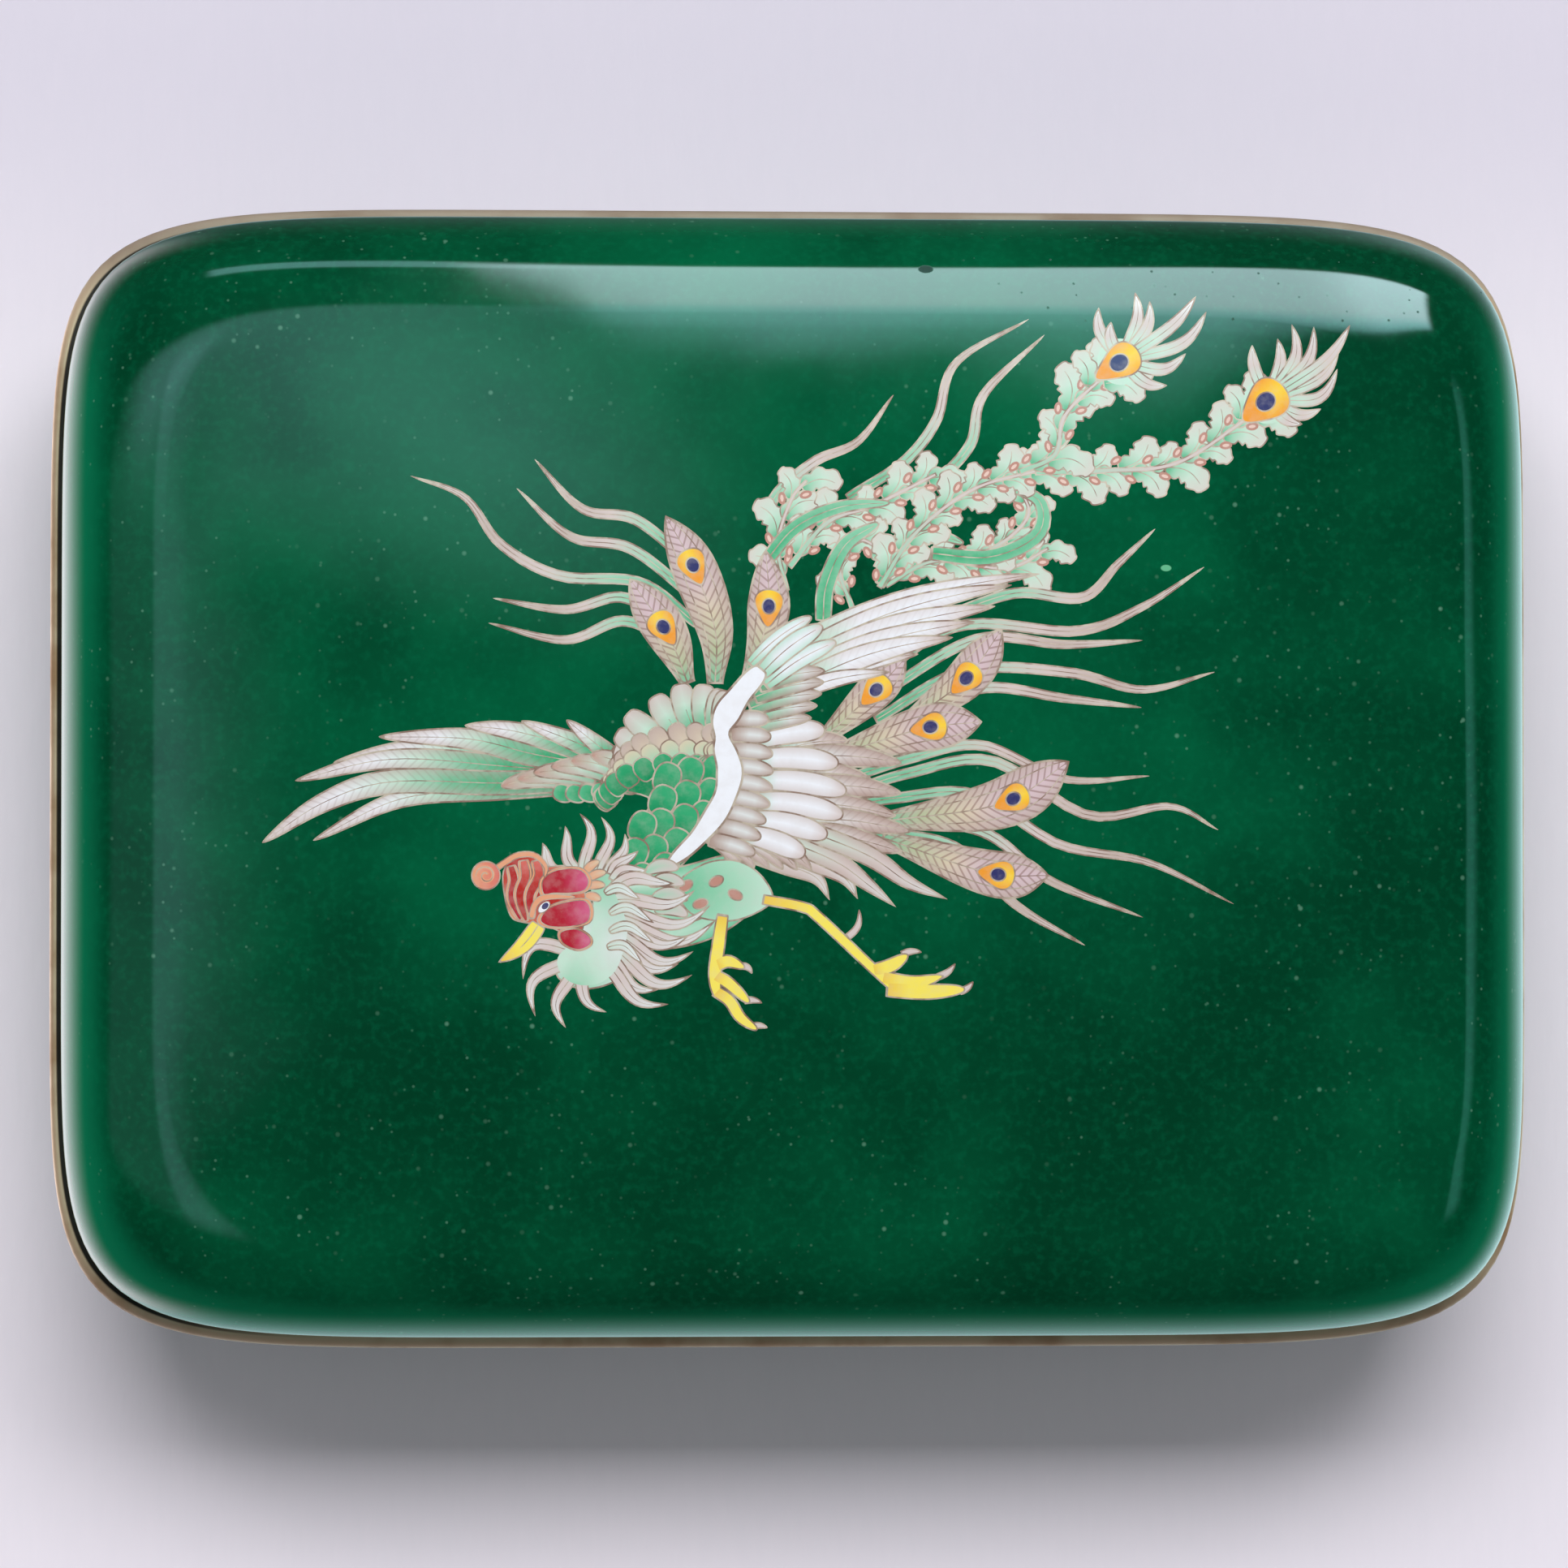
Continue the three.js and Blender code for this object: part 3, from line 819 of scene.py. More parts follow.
def draw_comb(picture):
    """The folded scarlet comb, each fold with a peach border."""
    comb = [
        (-26, -8.4), (-24.9, -6.95), (-23.3, -6.85), (-22.1, -7.9), (-20.4, -7.9), (-19, -9), (-18.6, -12),
        (-19.4, -14.6), (-21.2, -13.7), (-22.6, -13.2), (-24.2, -13), (-25.3, -12.5), (-25.9, -10.6),
    ]
    picture.lay(Field(ring_through(comb, 54), SCARLET, PEACH, sway((-25, -8), (-20, -13)), 3.4), wire=0.12)
    for points, half, red in (
        ([(-25.3, -7.9), (-25, -9.2), (-25.2, -10.8), (-24.4, -12.8)], 0.42, [(0, SCARLET), (1, CRIMSON)]),
        ([(-24.2, -7.4), (-24, -8.9), (-24.5, -10.6), (-23.9, -12.9)], 0.46, [(0, CORAL), (0.5, SCARLET)]),
        (
            [(-23.1, -7.4), (-22.8, -8.8), (-23.6, -10.6), (-23.4, -12.7)],
            0.46,
            [(0, CORAL), (0.5, SCARLET), (1, CRIMSON)],
        ),
    ):
        line = through(points, 30)
        picture.feather(line, half + 0.16, PEACH, wire=0.08, shape=(0.25, 0.3, 0.5))
        picture.feather(line[1:-1], half - 0.04, red, wire=0.08, shape=(0.25, 0.3, 0.5))


def draw_lobes(picture):
    """Wattle, upper lobe and cheek."""
    lips = [(0, CRIMSON), (0.4, CRIMSON), (0.8, ROSE), (1, ROSE)]
    wattle = [(-20.9, -13.8), (-19.5, -13.5), (-18.3, -14.2), (-18.3, -15), (-19.4, -15.4), (-20.7, -14.8)]
    upper = [
        (-22.5, -9.2), (-21.3, -8.3), (-19.3, -8.2), (-18.4, -9.1), (-18.7, -10.1), (-20, -10.4),
        (-21.5, -10.4), (-22.4, -10.5),
    ]
    cheek = [
        (-22.7, -12.7), (-22, -11.7), (-20.4, -11.1), (-18.7, -11), (-18.2, -12), (-18.6, -13),
        (-20.4, -13.4), (-22, -13.3),
    ]
    draw_lobe(picture, wattle, lips, ((-20.9, -14.4), (-18.2, -14.4)))
    draw_lobe(picture, upper, lips, ((-22.5, -10.2), (-18.2, -9)))
    draw_lobe(picture, cheek, lips, ((-22.7, -12.8), (-18, -11.8)))


def draw_curl(picture):
    """The comb's peach border and its tip, curled into a spiral."""
    border = through([(-26.9, -8.4), (-25.9, -7.7), (-24.7, -7), (-23.2, -7), (-22.2, -8), (-22.3, -9)], 30)
    picture.feather(border, 0.3, PEACH, wire=HAIR_WIRE, shape=(0.1, 0.3, 0.9))
    middle = (-27.5, -8.8)
    picture.lay(Field(disc(middle, 1.32, 28), [(0, CORAL), (1, PEACH)]), wire=0.12)
    angle = np.linspace(0.6, 9.5, 46)
    spiral = np.stack([np.cos(angle), np.sin(angle)], axis=1) * (0.1 + 0.085 * angle)[:, None] + middle
    picture.inlay(Field(thickened(spiral, 0.14), PEACH))
    picture.stroke(spiral, 0.1)


def draw_phoenix(wire_width):
    """The whole bird, from what lies furthest back."""
    picture = Picture(wire_width)
    for draw in (draw_tail, draw_far_wing, draw_body, draw_near_wing, draw_belly, draw_legs, draw_head):
        draw(picture)
    return picture


# ---------------------------------------------------------------- modelling helpers


def deselect_all():
    """Leaves edit mode and deselects every object."""
    if bpy.context.object and bpy.context.object.mode != "OBJECT":
        bpy.ops.object.mode_set(mode="OBJECT")
    bpy.ops.object.select_all(action="DESELECT")


def extruded_rings(name, section, closed):
    """Extrudes a circle ring by ring along a section of (inset, height, swell) and presses it to the outline.

    A closed section is joined back to its first ring; an open one starts and ends near the axis and is
    closed there.
    """
    deselect_all()
    radius, height = HALF_WIDTH - section[0][0], section[0][1]
    bpy.ops.mesh.primitive_circle_add(vertices=SEGMENTS, radius=radius, location=(0, 0, height))
    piece = bpy.context.object
    piece.name = piece.data.name = name
    bpy.ops.object.transform_apply(location=True, rotation=True, scale=True)
    bpy.ops.object.mode_set(mode="EDIT")
    bpy.ops.mesh.select_mode(type="EDGE")
    bpy.ops.mesh.select_all(action="SELECT")
    for inset, up, _ in section[1:]:
        grown = (HALF_WIDTH - inset) / radius
        bpy.ops.mesh.extrude_region_move(TRANSFORM_OT_translate={"value": (0, 0, up - height)})
        bpy.ops.transform.resize(value=(grown, grown, 1), center_override=(0, 0, up))
        radius, height = HALF_WIDTH - inset, up
    bpy.ops.object.mode_set(mode="OBJECT")
    press(piece, section)
    bpy.ops.object.mode_set(mode="EDIT")
    if closed:
        bpy.ops.mesh.select_all(action="SELECT")
        bpy.ops.mesh.remove_doubles(threshold=1e-4)
    else:
        for _ in ("one end", "the other end"):
            bpy.ops.mesh.select_all(action="DESELECT")
            bpy.ops.mesh.select_non_manifold()
            bpy.ops.mesh.edge_face_add()
    bpy.ops.mesh.select_all(action="SELECT")
    bpy.ops.mesh.normals_make_consistent(inside=False)
    bpy.ops.object.mode_set(mode="OBJECT")
    return piece


def press(piece, section):
    """Moves the rings of a round piece to the box's outline and lifts them by their share of the crown."""
    turns = even_turns(SEGMENTS)
    places = np.empty(len(piece.data.vertices) * 3)
    piece.data.vertices.foreach_get("co", places)
    places = places.reshape(-1, 3)
    ring = np.arange(len(places)) // SEGMENTS
    inset = np.array([point[0] for point in section])[ring]
    swell = np.array([point[2] for point in section])[ring]
    turned_by = np.arctan2(places[:, 1], places[:, 0]) / (2 * math.pi)
    spoke = np.round(turned_by * SEGMENTS).astype(int) % SEGMENTS
    x = half_length_at(inset) * squared(np.cos(turns[spoke]))
    y = (HALF_WIDTH - inset) * squared(np.sin(turns[spoke]))
    z = places[:, 2] + swell * crown(x, y)
    piece.data.vertices.foreach_set("co", np.stack([x, y, z], axis=-1).ravel() * MM)
    piece.data.update()


def finish_piece(piece, material, node=None, angle=30):
    """Smooths a piece, dresses it and gives it to the frame. An angle of 0 keeps its own normals."""
    if angle:
        deselect_all()
        piece.select_set(True)
        bpy.context.view_layer.objects.active = piece
        bpy.ops.object.shade_smooth_by_angle(angle=math.radians(angle))
    piece.data.materials.clear()
    piece.data.materials.append(material)
    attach(piece, "root")
    if node:
        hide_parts(node)
    return piece


# ---------------------------------------------------------------- inlay

DRAWING_SCALE = 0.979  # the drawing is laid out a little larger than it is set
DRAWING_SHIFT = (-0.75, -0.29)


def inside(points, loop):
    """Which points lie inside a loop, also where it laps over itself."""
    start, stop = loop, np.roll(loop, -1, axis=0)
    x, y = points[:, :1], points[:, 1:]
    side = (stop[:, 0] - start[:, 0]) * (y - start[:, 1]) - (x - start[:, 0]) * (stop[:, 1] - start[:, 1])
    rising = (start[:, 1] <= y) & (stop[:, 1] > y) & (side > 0)
    falling = (start[:, 1] > y) & (stop[:, 1] <= y) & (side < 0)
    return rising.sum(axis=1) != falling.sum(axis=1)


def shown_at(points, loops):
    """The number of the topmost loop at each point, or -1."""
    order = np.argsort(points[:, 0])
    sorted_x, sorted_y = points[order].T
    shown = np.full(len(points), -1)
    for number in reversed(range(len(loops))):
        low, high = loops[number].min(axis=0), loops[number].max(axis=0)
        first, last = np.searchsorted(sorted_x, (low[0], high[0]))
        rows = sorted_y[first:last]
        near = order[first:last][(rows > low[1]) & (rows < high[1])]
        near = near[shown[near] < 0]
        shown[near[inside(points[near], loops[number])]] = number
    return shown


def triangulated(points, edges):
    """Triangles between points that keep to the edges."""
    flat_points = [Vector(point) for point in points]
    found, _, triangles, *_ = delaunay_2d_cdt(flat_points, edges.tolist(), [], 0, 1e-4)
    return np.array(found), np.array(triangles)


def arranged(picture):
    """Cuts the picture into triangles. Gives their points, corners, and the shape that each one shows.

    The first cut keeps to every loop. The second keeps only to the sides at which the shape that shows
    changes, and to the spines, so that the tints run evenly along each field.
    """
    loops = [loop for loop, _ in picture.shapes]
    edges, first = [], 0
    for loop in loops:
        numbers = np.arange(first, first + len(loop))
        edges.append(np.stack([numbers, np.roll(numbers, -1)], axis=1))
        first += len(loop)
    points, triangles = triangulated(np.vstack(loops), np.vstack(edges))
    shown = shown_at(points[triangles].mean(axis=1), loops)
    sides = np.sort(np.concatenate([triangles[:, ends] for ends in ([0, 1], [1, 2], [2, 0])]), axis=1)
    owner = np.tile(shown, 3)
    order = np.lexsort((sides[:, 1], sides[:, 0]))
    sides, owner = sides[order], owner[order]
    seen = np.nonzero((sides[1:] == sides[:-1]).all(axis=1) & (owner[1:] != owner[:-1]))[0]
    used, outline = np.unique(sides[seen], return_inverse=True)
    fields = [(number, field) for number, (_, field) in enumerate(picture.shapes) if field]
    with_spines = [(number, field.spine[1:-1]) for number, field in fields if len(field.spine) > 4]
    spines = np.vstack([spine for _, spine in with_spines])
    owners = np.concatenate([np.full(len(spine), number) for number, spine in with_spines])
    kept = spines[shown_at(spines, loops) == owners]
    points, triangles = triangulated(np.vstack([points[used], kept]), outline.reshape(-1, 2))
    return points, triangles, shown_at(points[triangles].mean(axis=1), loops)


def along_spine(field, points):
    """For each point: its share along the field's spine and out to the side, and both in millimetres."""
    spine = field.spine
    run = np.diff(spine, axis=0)
    length = np.linalg.norm(run, axis=1)
    to_point = points[:, None] - spine[None, :-1]
    share = np.clip((to_point * run).sum(-1) / length**2, 0, 1)
    gap = np.linalg.norm(to_point - run * share[..., None], axis=-1)
    nearest = gap.argmin(axis=1)
    rows = np.arange(len(points))
    share, gap = share[rows, nearest], gap[rows, nearest]
    walked = np.concatenate([[0], np.cumsum(length)])
    along = walked[nearest] + share * length[nearest]
    half = field.half[nearest] * (1 - share) + field.half[nearest + 1] * share
    ahead, aside = run[nearest], to_point[rows, nearest]
    side = np.sign(ahead[:, 0] * aside[:, 1] - ahead[:, 1] * aside[:, 0])
    return along / walked[-1], np.clip(gap / np.maximum(half, 0.05), 0, 1), along, gap * side


def tinted(field, points):
    """Light colour, strength of the barbs, and the place on the feather, at points of a field."""
    share, out, along, across = along_spine(field, points)
    stops, colours = zip(*field.tones)
    screen = np.stack([np.interp(share, stops, parts) for parts in zip(*colours)], axis=1)
    if field.edge is not None:
        weight = (out**1.5 * field.depth)[:, None]
        screen = screen * (1 - weight) + np.array(field.edge) * weight
    strength = np.full(len(points), field.barbs)
    return np.column_stack([light_of(screen), strength]), np.column_stack([along, across])


def parted(triangles):
    """Corners numbered as separate points where triangles meet at no shared side, and the open sides."""
    corner = np.arange(triangles.size)
    here, there = triangles.ravel(), np.roll(triangles, -1, axis=1).ravel()
    next_corner = np.roll(corner.reshape(-1, 3), -1, axis=1).ravel()
    key, twin = here * (here.max() + 1) + there, there * (here.max() + 1) + here
    order = np.argsort(key)
    place = np.minimum(np.searchsorted(key[order], twin), len(key) - 1)
    mate = order[place]
    paired = key[mate] == twin
    first, second = corner[paired], next_corner[mate[paired]]
    label = corner.copy()
    while True:
        low = np.minimum(label[first], label[second])
        settled = label.copy()
        np.minimum.at(settled, first, low)
        np.minimum.at(settled, second, low)
        if (settled == label).all():
            break
        label = settled
    kept, number = np.unique(label, return_inverse=True)
    return number.reshape(-1, 3), here[kept], corner[~paired], next_corner[~paired]


def inlaid(name, points, triangles, lift, depth, colours=None, places=None):
    """A thin body set flush into the lid, from flat triangles with a colour and place for each corner."""
    tops, origin, start, stop = parted(triangles)
    flat_places = points[origin] * DRAWING_SCALE + DRAWING_SHIFT
    height = lid_height(flat_places[:, 0], flat_places[:, 1])
    count = len(origin)
    vertices = np.vstack([np.column_stack([flat_places, height + rise]) for rise in (lift, -depth)])
    numbers = tops.ravel()
    walls = np.stack([numbers[stop], numbers[start], numbers[start] + count, numbers[stop] + count], axis=1)
    faces = tops.tolist() + (tops[:, ::-1] + count).tolist() + walls.tolist()
    mesh = bpy.data.meshes.new(name)
    mesh.from_pydata((vertices * MM).tolist(), [], faces)
    corner = np.arange(triangles.size).reshape(-1, 3)
    wall_corners = np.stack([stop, start, start, stop], axis=1)
    source = np.concatenate([corner.ravel(), corner[:, ::-1].ravel(), wall_corners.ravel()])
    low, high = flat_places.min(axis=0), flat_places.max(axis=0)
    face_places = flat_places[numbers][source]
    add_corner_map(mesh, "OFBake", (face_places - low) / (high - low))
    if colours is not None:
        add_corner_map(mesh, "barbs", places[source])
        tint = mesh.attributes.new("tint", "FLOAT_COLOR", "CORNER")
        tint.data.foreach_set("color", colours[source].ravel())
    normals = np.zeros((len(mesh.loops), 3))
    mesh.corner_normals.foreach_get("vector", normals.ravel())
    normals[: triangles.size] = lid_normal(flat_places[numbers, 0], flat_places[numbers, 1])
    mesh.normals_split_custom_set(normals.tolist())
    piece = bpy.data.objects.new(name, mesh)
    bpy.context.collection.objects.link(piece)
    return piece


def add_corner_map(mesh, name, places):
    """A UV map from a place for each corner."""
    layer = mesh.uv_layers.new(name=name)
    layer.data.foreach_set("uv", places.astype(np.float32).ravel())


def inlay_picture(picture, lift, depth):
    """The picture's enamels and wires as two pieces set into the lid."""
    points, triangles, shown = arranged(picture)
    is_wire = np.array([field is None for _, field in picture.shapes] + [False])
    wires = inlaid("picture_wires", points, triangles[is_wire[shown] & (shown >= 0)], lift, depth)
    in_enamel = ~is_wire[shown] & (shown >= 0)
    fills, owners = triangles[in_enamel], shown[in_enamel]
    colours, places = np.zeros((fills.size, 4)), np.zeros((fills.size, 2))
    order = np.argsort(owners, kind="stable")
    cuts = np.nonzero(np.diff(owners[order]))[0] + 1
    for group in np.split(order, cuts):
        corners = (group[:, None] * 3 + np.arange(3)).ravel()
        field = picture.shapes[owners[group[0]]][1]
        colours[corners], places[corners] = tinted(field, points[fills[group].ravel()])
    return inlaid("picture_enamels", points, fills, lift, depth, colours, places), wires


# ---------------------------------------------------------------- materials


class Value:
    """A socket in a material that can be reckoned with: 1 - mask adds the Math node it needs."""

    def __init__(self, paint, socket):
        self.paint = paint
        self.socket = socket

    def reckon(self, operation, *values):
        """The result of a Math node on some values."""
        return self.paint.node("ShaderNodeMath", {"operation": operation}, dict(enumerate(values)))

    def __add__(self, other):
        return self.reckon("ADD", self, other)

    __radd__ = __add__

    def __sub__(self, other):
        return self.reckon("SUBTRACT", self, other)

    def __rsub__(self, other):
        return self.reckon("SUBTRACT", other, self)

    def __mul__(self, other):
        return self.reckon("MULTIPLY", self, other)

    __rmul__ = __mul__

    def __truediv__(self, other):
        return self.reckon("DIVIDE", self, other)

    def __pow__(self, other):
        return self.reckon("POWER", self, other)

    def __abs__(self):
        return self.reckon("ABSOLUTE", self)

    def at_least(self, other):
        return self.reckon("MAXIMUM", self, other)

    def at_most(self, other):
        return self.reckon("MINIMUM", self, other)


class Paint:
    """The nodes of a material or world under construction."""

    def __init__(self, owner):
        owner.use_nodes = True
        self.owner = owner
        self.tree = owner.node_tree
        self.tree.nodes.clear()

    def node(self, kind, settings=None, sockets=None, output=0):
        """Adds a node, sets it up, fills its sockets with numbers, colours or links, and gives an output."""
        made = self.tree.nodes.new(kind)
        for key, value in (settings or {}).items():
            setattr(made, key, value)
        for key, value in (sockets or {}).items():
            if isinstance(value, Value):
                self.tree.links.new(value.socket, made.inputs[key])
            else:
                made.inputs[key].default_value = value
        return Value(self, made.outputs[output]) if made.outputs else None

    def millimetres(self):
        """The place on the piece, in millimetres."""
        place = self.node("ShaderNodeTexCoord", output="Object")
        return self.node("ShaderNodeVectorMath", {"operation": "SCALE"}, {"Vector": place, "Scale": 1 / MM})

    def clouds(self, place, size, detail=2.0, roughness=0.5, stretch=(1, 1, 1)):
        """Soft noise from 0 to 1, whose patches are about so many millimetres across."""
        spread = self.node(
            "ShaderNodeVectorMath",
            {"operation": "MULTIPLY"},
            {0: place, 1: [part / size for part in stretch]},
        )
        return self.node(
            "ShaderNodeTexNoise",
            sockets={"Vector": spread, "Scale": 1.0, "Detail": detail, "Roughness": roughness},
        )

    def between(self, value, low, high):
        """0 where value is under low, 1 where it is over high, and smooth between."""
        return self.node(
            "ShaderNodeMapRange",
            {"interpolation_type": "SMOOTHSTEP"},
            {"Value": value, "From Min": low, "From Max": high},
        )

    def within(self, value, low_out, low_in, high_in, high_out):
        """1 where value lies from low_in to high_in, 0 beyond low_out and high_out, and smooth between."""
        return self.between(value, low_out, low_in) * self.between(value, high_out, high_in)

    def scattered(self, place, scale):
        """The distance to the nearest of many scattered points, and that point's own random colour."""
        sockets = {"Vector": place, "Scale": scale}
        outputs = ("Distance", "Color")
        return [self.node("ShaderNodeTexVoronoi", {"feature": "F1"}, sockets, output) for output in outputs]

    def parts(self, vector):
        """The X, Y and Z of a vector."""
        return [self.node("ShaderNodeSeparateXYZ", sockets={0: vector}, output=axis) for axis in range(3)]

    def mix(self, share, first, second):
        """A colour that goes from first to second."""
        kind = {"data_type": "RGBA"}
        return self.node("ShaderNodeMix", kind, {0: share, 6: first, 7: second}, output=2)

    def bump(self, height, depth):
        """A normal that rises and falls with height, by so many millimetres."""
        sockets = {"Height": height, "Strength": 1.0, "Distance": depth * MM}
        return self.node("ShaderNodeBump", sockets=sockets)

    def surface(self, **sockets):
        """Ends the material in a Principled shader."""
        named = {key.replace("_", " "): value for key, value in sockets.items()}
        shader = self.node("ShaderNodeBsdfPrincipled", sockets=named)
        self.node("ShaderNodeOutputMaterial", sockets={"Surface": shader})
        return self.owner


def light_of(screen):
    """The light that screen values from 0 to 255 stand for."""
    share = np.asarray(screen) / 255
    return np.where(share > 10 / 255, ((share + 0.055) / 1.055) ** 2.4, share / 12.92)


def linear(*parts):
    """A screen colour as the light it stands for, opaque."""
    return (*light_of(parts).tolist(), 1.0)


def from_oval(across, along, middle, half):
    """0 in the middle of an oval, 1 on its outline and more beyond, by the square of the distance."""
    x = (across - middle[0]) / half[0]
    y = (along - middle[1]) / half[1]
    return x * x + y * y


def green_enamel(box):
    """Deep green fired enamel: clouded, finely specked, polished to a slightly wavy gloss, with painted light
    on its rounded edge.
    """
    paint = Paint(bpy.data.materials.new("fired_green"))
    place = paint.millimetres()
    across, along, _ = paint.parts(place)
    drift = paint.clouds(place, 30, detail=2.5)
    cloud = paint.clouds(place, 8, detail=4.0, roughness=0.6)
    middle = paint.between(from_oval(across, along, (0, 12), (66, 46)), 1.0, 0.1)
    light = paint.between(drift * 0.62 + cloud * 0.3 + middle * 0.2, 0.36, 0.8)
    colour = paint.mix(light, box.dark_enamel, box.light_enamel)
    # Painted light: the rounded edge is made lighter, standing for light bounced up from the floor, but not
    # along the far side
    edge = paint.between(outline_share(across, along), 0.925, 0.99) * paint.between(along, 46, 30)
    colour = paint.mix(edge * 0.7, colour, box.painted_edge_light)
    grain = paint.between(paint.clouds(place, 0.7), 0.4, 0.85)
    colour = paint.mix(grain * 0.25, colour, linear(6, 112, 74))
    colour = specked(paint, place, colour)
    pit = pits(paint, place, across, along)
    colour = paint.mix(pit * 0.85, colour, linear(1, 22, 14))
    pale_spot = paint.between(from_oval(across, along, (31.7, 18.0), (0.5, 0.3)), 1.1, 0.6)
    colour = paint.mix(pale_spot * 0.8, colour, linear(110, 196, 150))
    wave = paint.clouds(place, 16, detail=1.0)
    peel = paint.clouds(place, 2.2, detail=1.0)
    normal = paint.bump(wave * 0.03 + peel * 0.0006, 1.0)
    roughness = 0.05 + paint.clouds(place, 5.0) * 0.05 + pit * 0.6
    return paint.surface(Base_Color=colour, Roughness=roughness, Normal=normal, IOR=1.55)


def specked(paint, place, colour):
    """The colour with fine pale specks, coarse and small, that lie in drifts."""
    dusty = paint.between(paint.clouds(place, 12), 0.38, 0.62)
    for scale, size, strength, away in ((0.55, 0.16, 0.36, 0.0), (1.1, 0.2, 0.28, 31.0)):
        shifted = paint.node("ShaderNodeVectorMath", {"operation": "ADD"}, {0: place, 1: (away, away, 0)})
        distance, own = paint.scattered(shifted, scale)
        chosen = paint.between(paint.parts(own)[0], 0.35, 0.9)
        speck = paint.between(distance, size, size * 0.3) * chosen * dusty
        colour = paint.mix(speck * strength, colour, linear(120, 178, 150))
    return colour


def pits(paint, place, across, along):
    """Where the enamel has pinholes, along the right of the far side, and the dark flaw on its edge."""
    distance, own = paint.scattered(place, 0.9)
    pinhole = paint.between(distance, 0.15, 0.07) * paint.between(paint.parts(own)[1], 0.55, 0.6)
    pinhole = pinhole * paint.between(across, 4, 26) * paint.between(along, 36.5, 40)
    flaw = paint.between(from_oval(across, along, (10.85, 44.3), (0.66, 0.36)), 1.2, 0.7)
    return (pinhole * 0.7).at_least(flaw)


def outline_share(across, along):
    """How far out a place lies, 1 on the widest outline of the enamel."""
    powers = (abs(across) / HALF_LENGTH) ** SQUARENESS + (abs(along) / HALF_WIDTH) ** SQUARENESS
    return powers ** (1 / SQUARENESS)


def gilt(box):
    """Gilt copper alloy: worn and tarnished, with painted shade on the long sides, and a painted shadow line
    next to the enamel on the left and at the seam.
    """
    paint = Paint(bpy.data.materials.new("worn_gilt"))
    place = paint.millimetres()
    across, along, height = paint.parts(place)
    tarnish = paint.between(paint.clouds(place, 7, detail=4.0), 0.42, 0.7)
    colour = paint.mix(tarnish, box.gilding, box.tarnish)
    # Painted shade: the rims darker, rougher and less metallic along both long sides, the far one most
    painted_side_shade = paint.between(along, 38, 48) + 0.5 * paint.between(along, -38, -48)
    colour = paint.mix(painted_side_shade * 0.8, colour, linear(108, 100, 92))
    proud = outline_share(across, along) - 1
    # Painted shadow: a near-black line just outside the enamel along the left side, and another along the
    # seam between the rims
    crevice_shadow = paint.between(proud, 0.0118, 0.0088) * paint.between(across, -40, -58)
    seam = LID_RIM_LOW.z - SEAM / 2
    shadow_line = crevice_shadow.at_least(paint.within(height, seam - 0.3, seam - 0.05, seam + 0.05, seam + 0.3))
    colour = paint.mix(shadow_line * 0.98, colour, linear(14, 6, 4))
    roughness = 0.34 + tarnish * 0.16 + shadow_line * 0.3 + painted_side_shade * 0.2
    scratches = paint.clouds(place, 0.5, detail=3.0, stretch=(0.2, 0.2, 3.0))
    metallic = 0.45 - shadow_line.at_least(painted_side_shade) * 0.42
    normal = paint.bump(scratches, 0.004)
    return paint.surface(Base_Color=colour, Roughness=roughness, Normal=normal, Metallic=metallic)


def picture_enamel():
    """Polished enamels of the picture: each field's own tint, faintly clouded, with barbs on the feathers."""
    paint = Paint(bpy.data.materials.new("picture_colours"))
    place = paint.millimetres()
    tint = paint.node("ShaderNodeAttribute", {"attribute_name": "tint"}, output="Color")
    strength = paint.node("ShaderNodeAttribute", {"attribute_name": "tint"}, output="Alpha")
    feather = paint.node("ShaderNodeUVMap", {"uv_map": "barbs"})
    along, across, _ = paint.parts(feather)
    rows = (along - abs(across)) / 0.8
    barb = paint.between(rows.reckon("PINGPONG", rows, 0.5), 0.2, 0.08) * strength
    colour = paint.mix(barb * 0.6, tint, linear(140, 104, 96))
    cloud = paint.clouds(place, 0.9, detail=3.0, roughness=0.6)
    colour = paint.mix(paint.between(cloud, 0.35, 0.75) * 0.16, colour, linear(206, 198, 194))
    return paint.surface(Base_Color=colour, Roughness=0.16, IOR=1.5)


def silver_wire(picture):
    """Fine drawn wire, ground flush with the enamel and a little tarnished."""
    paint = Paint(bpy.data.materials.new("drawn_silver"))
    place = paint.millimetres()
    worn = paint.between(paint.clouds(place, 1.6, detail=3.0), 0.38, 0.66)
    colour = paint.mix(worn, picture.bright_wire, picture.dull_wire)
    return paint.surface(Base_Color=colour, Roughness=0.42, Metallic=0.3)


def cloth(studio):
    """The pale cover that the box stands on."""
    paint = Paint(bpy.data.materials.new("pale_floor"))
    place = paint.millimetres()
    weave = paint.clouds(place, 1.2, stretch=(1.0, 0.25, 1.0))
    drift = paint.clouds(place, 60)
    colour = paint.mix(weave * 0.25 + drift * 0.5, studio.floor, linear(228, 224, 234))
    # Painted shade: the cover turns darker and greyer towards the far side, behind the box
    _, along, _ = paint.parts(place)
    colour = paint.mix(paint.between(along, 30, 70) * 0.35, colour, linear(170, 168, 192))
    return paint.surface(Base_Color=colour, Roughness=0.9, Normal=paint.bump(weave, 0.05))


# ---------------------------------------------------------------- pieces


def tucked_wall(rim, foot):
    """The outside of a wall from its rim, where it is drawn in a little, to the foot of the rounded edge."""
    return [(TUCK * (1 - share) ** 2, rim + (foot - rim) * share, 0) for share in (0, 0.25, 0.5, 0.75)]


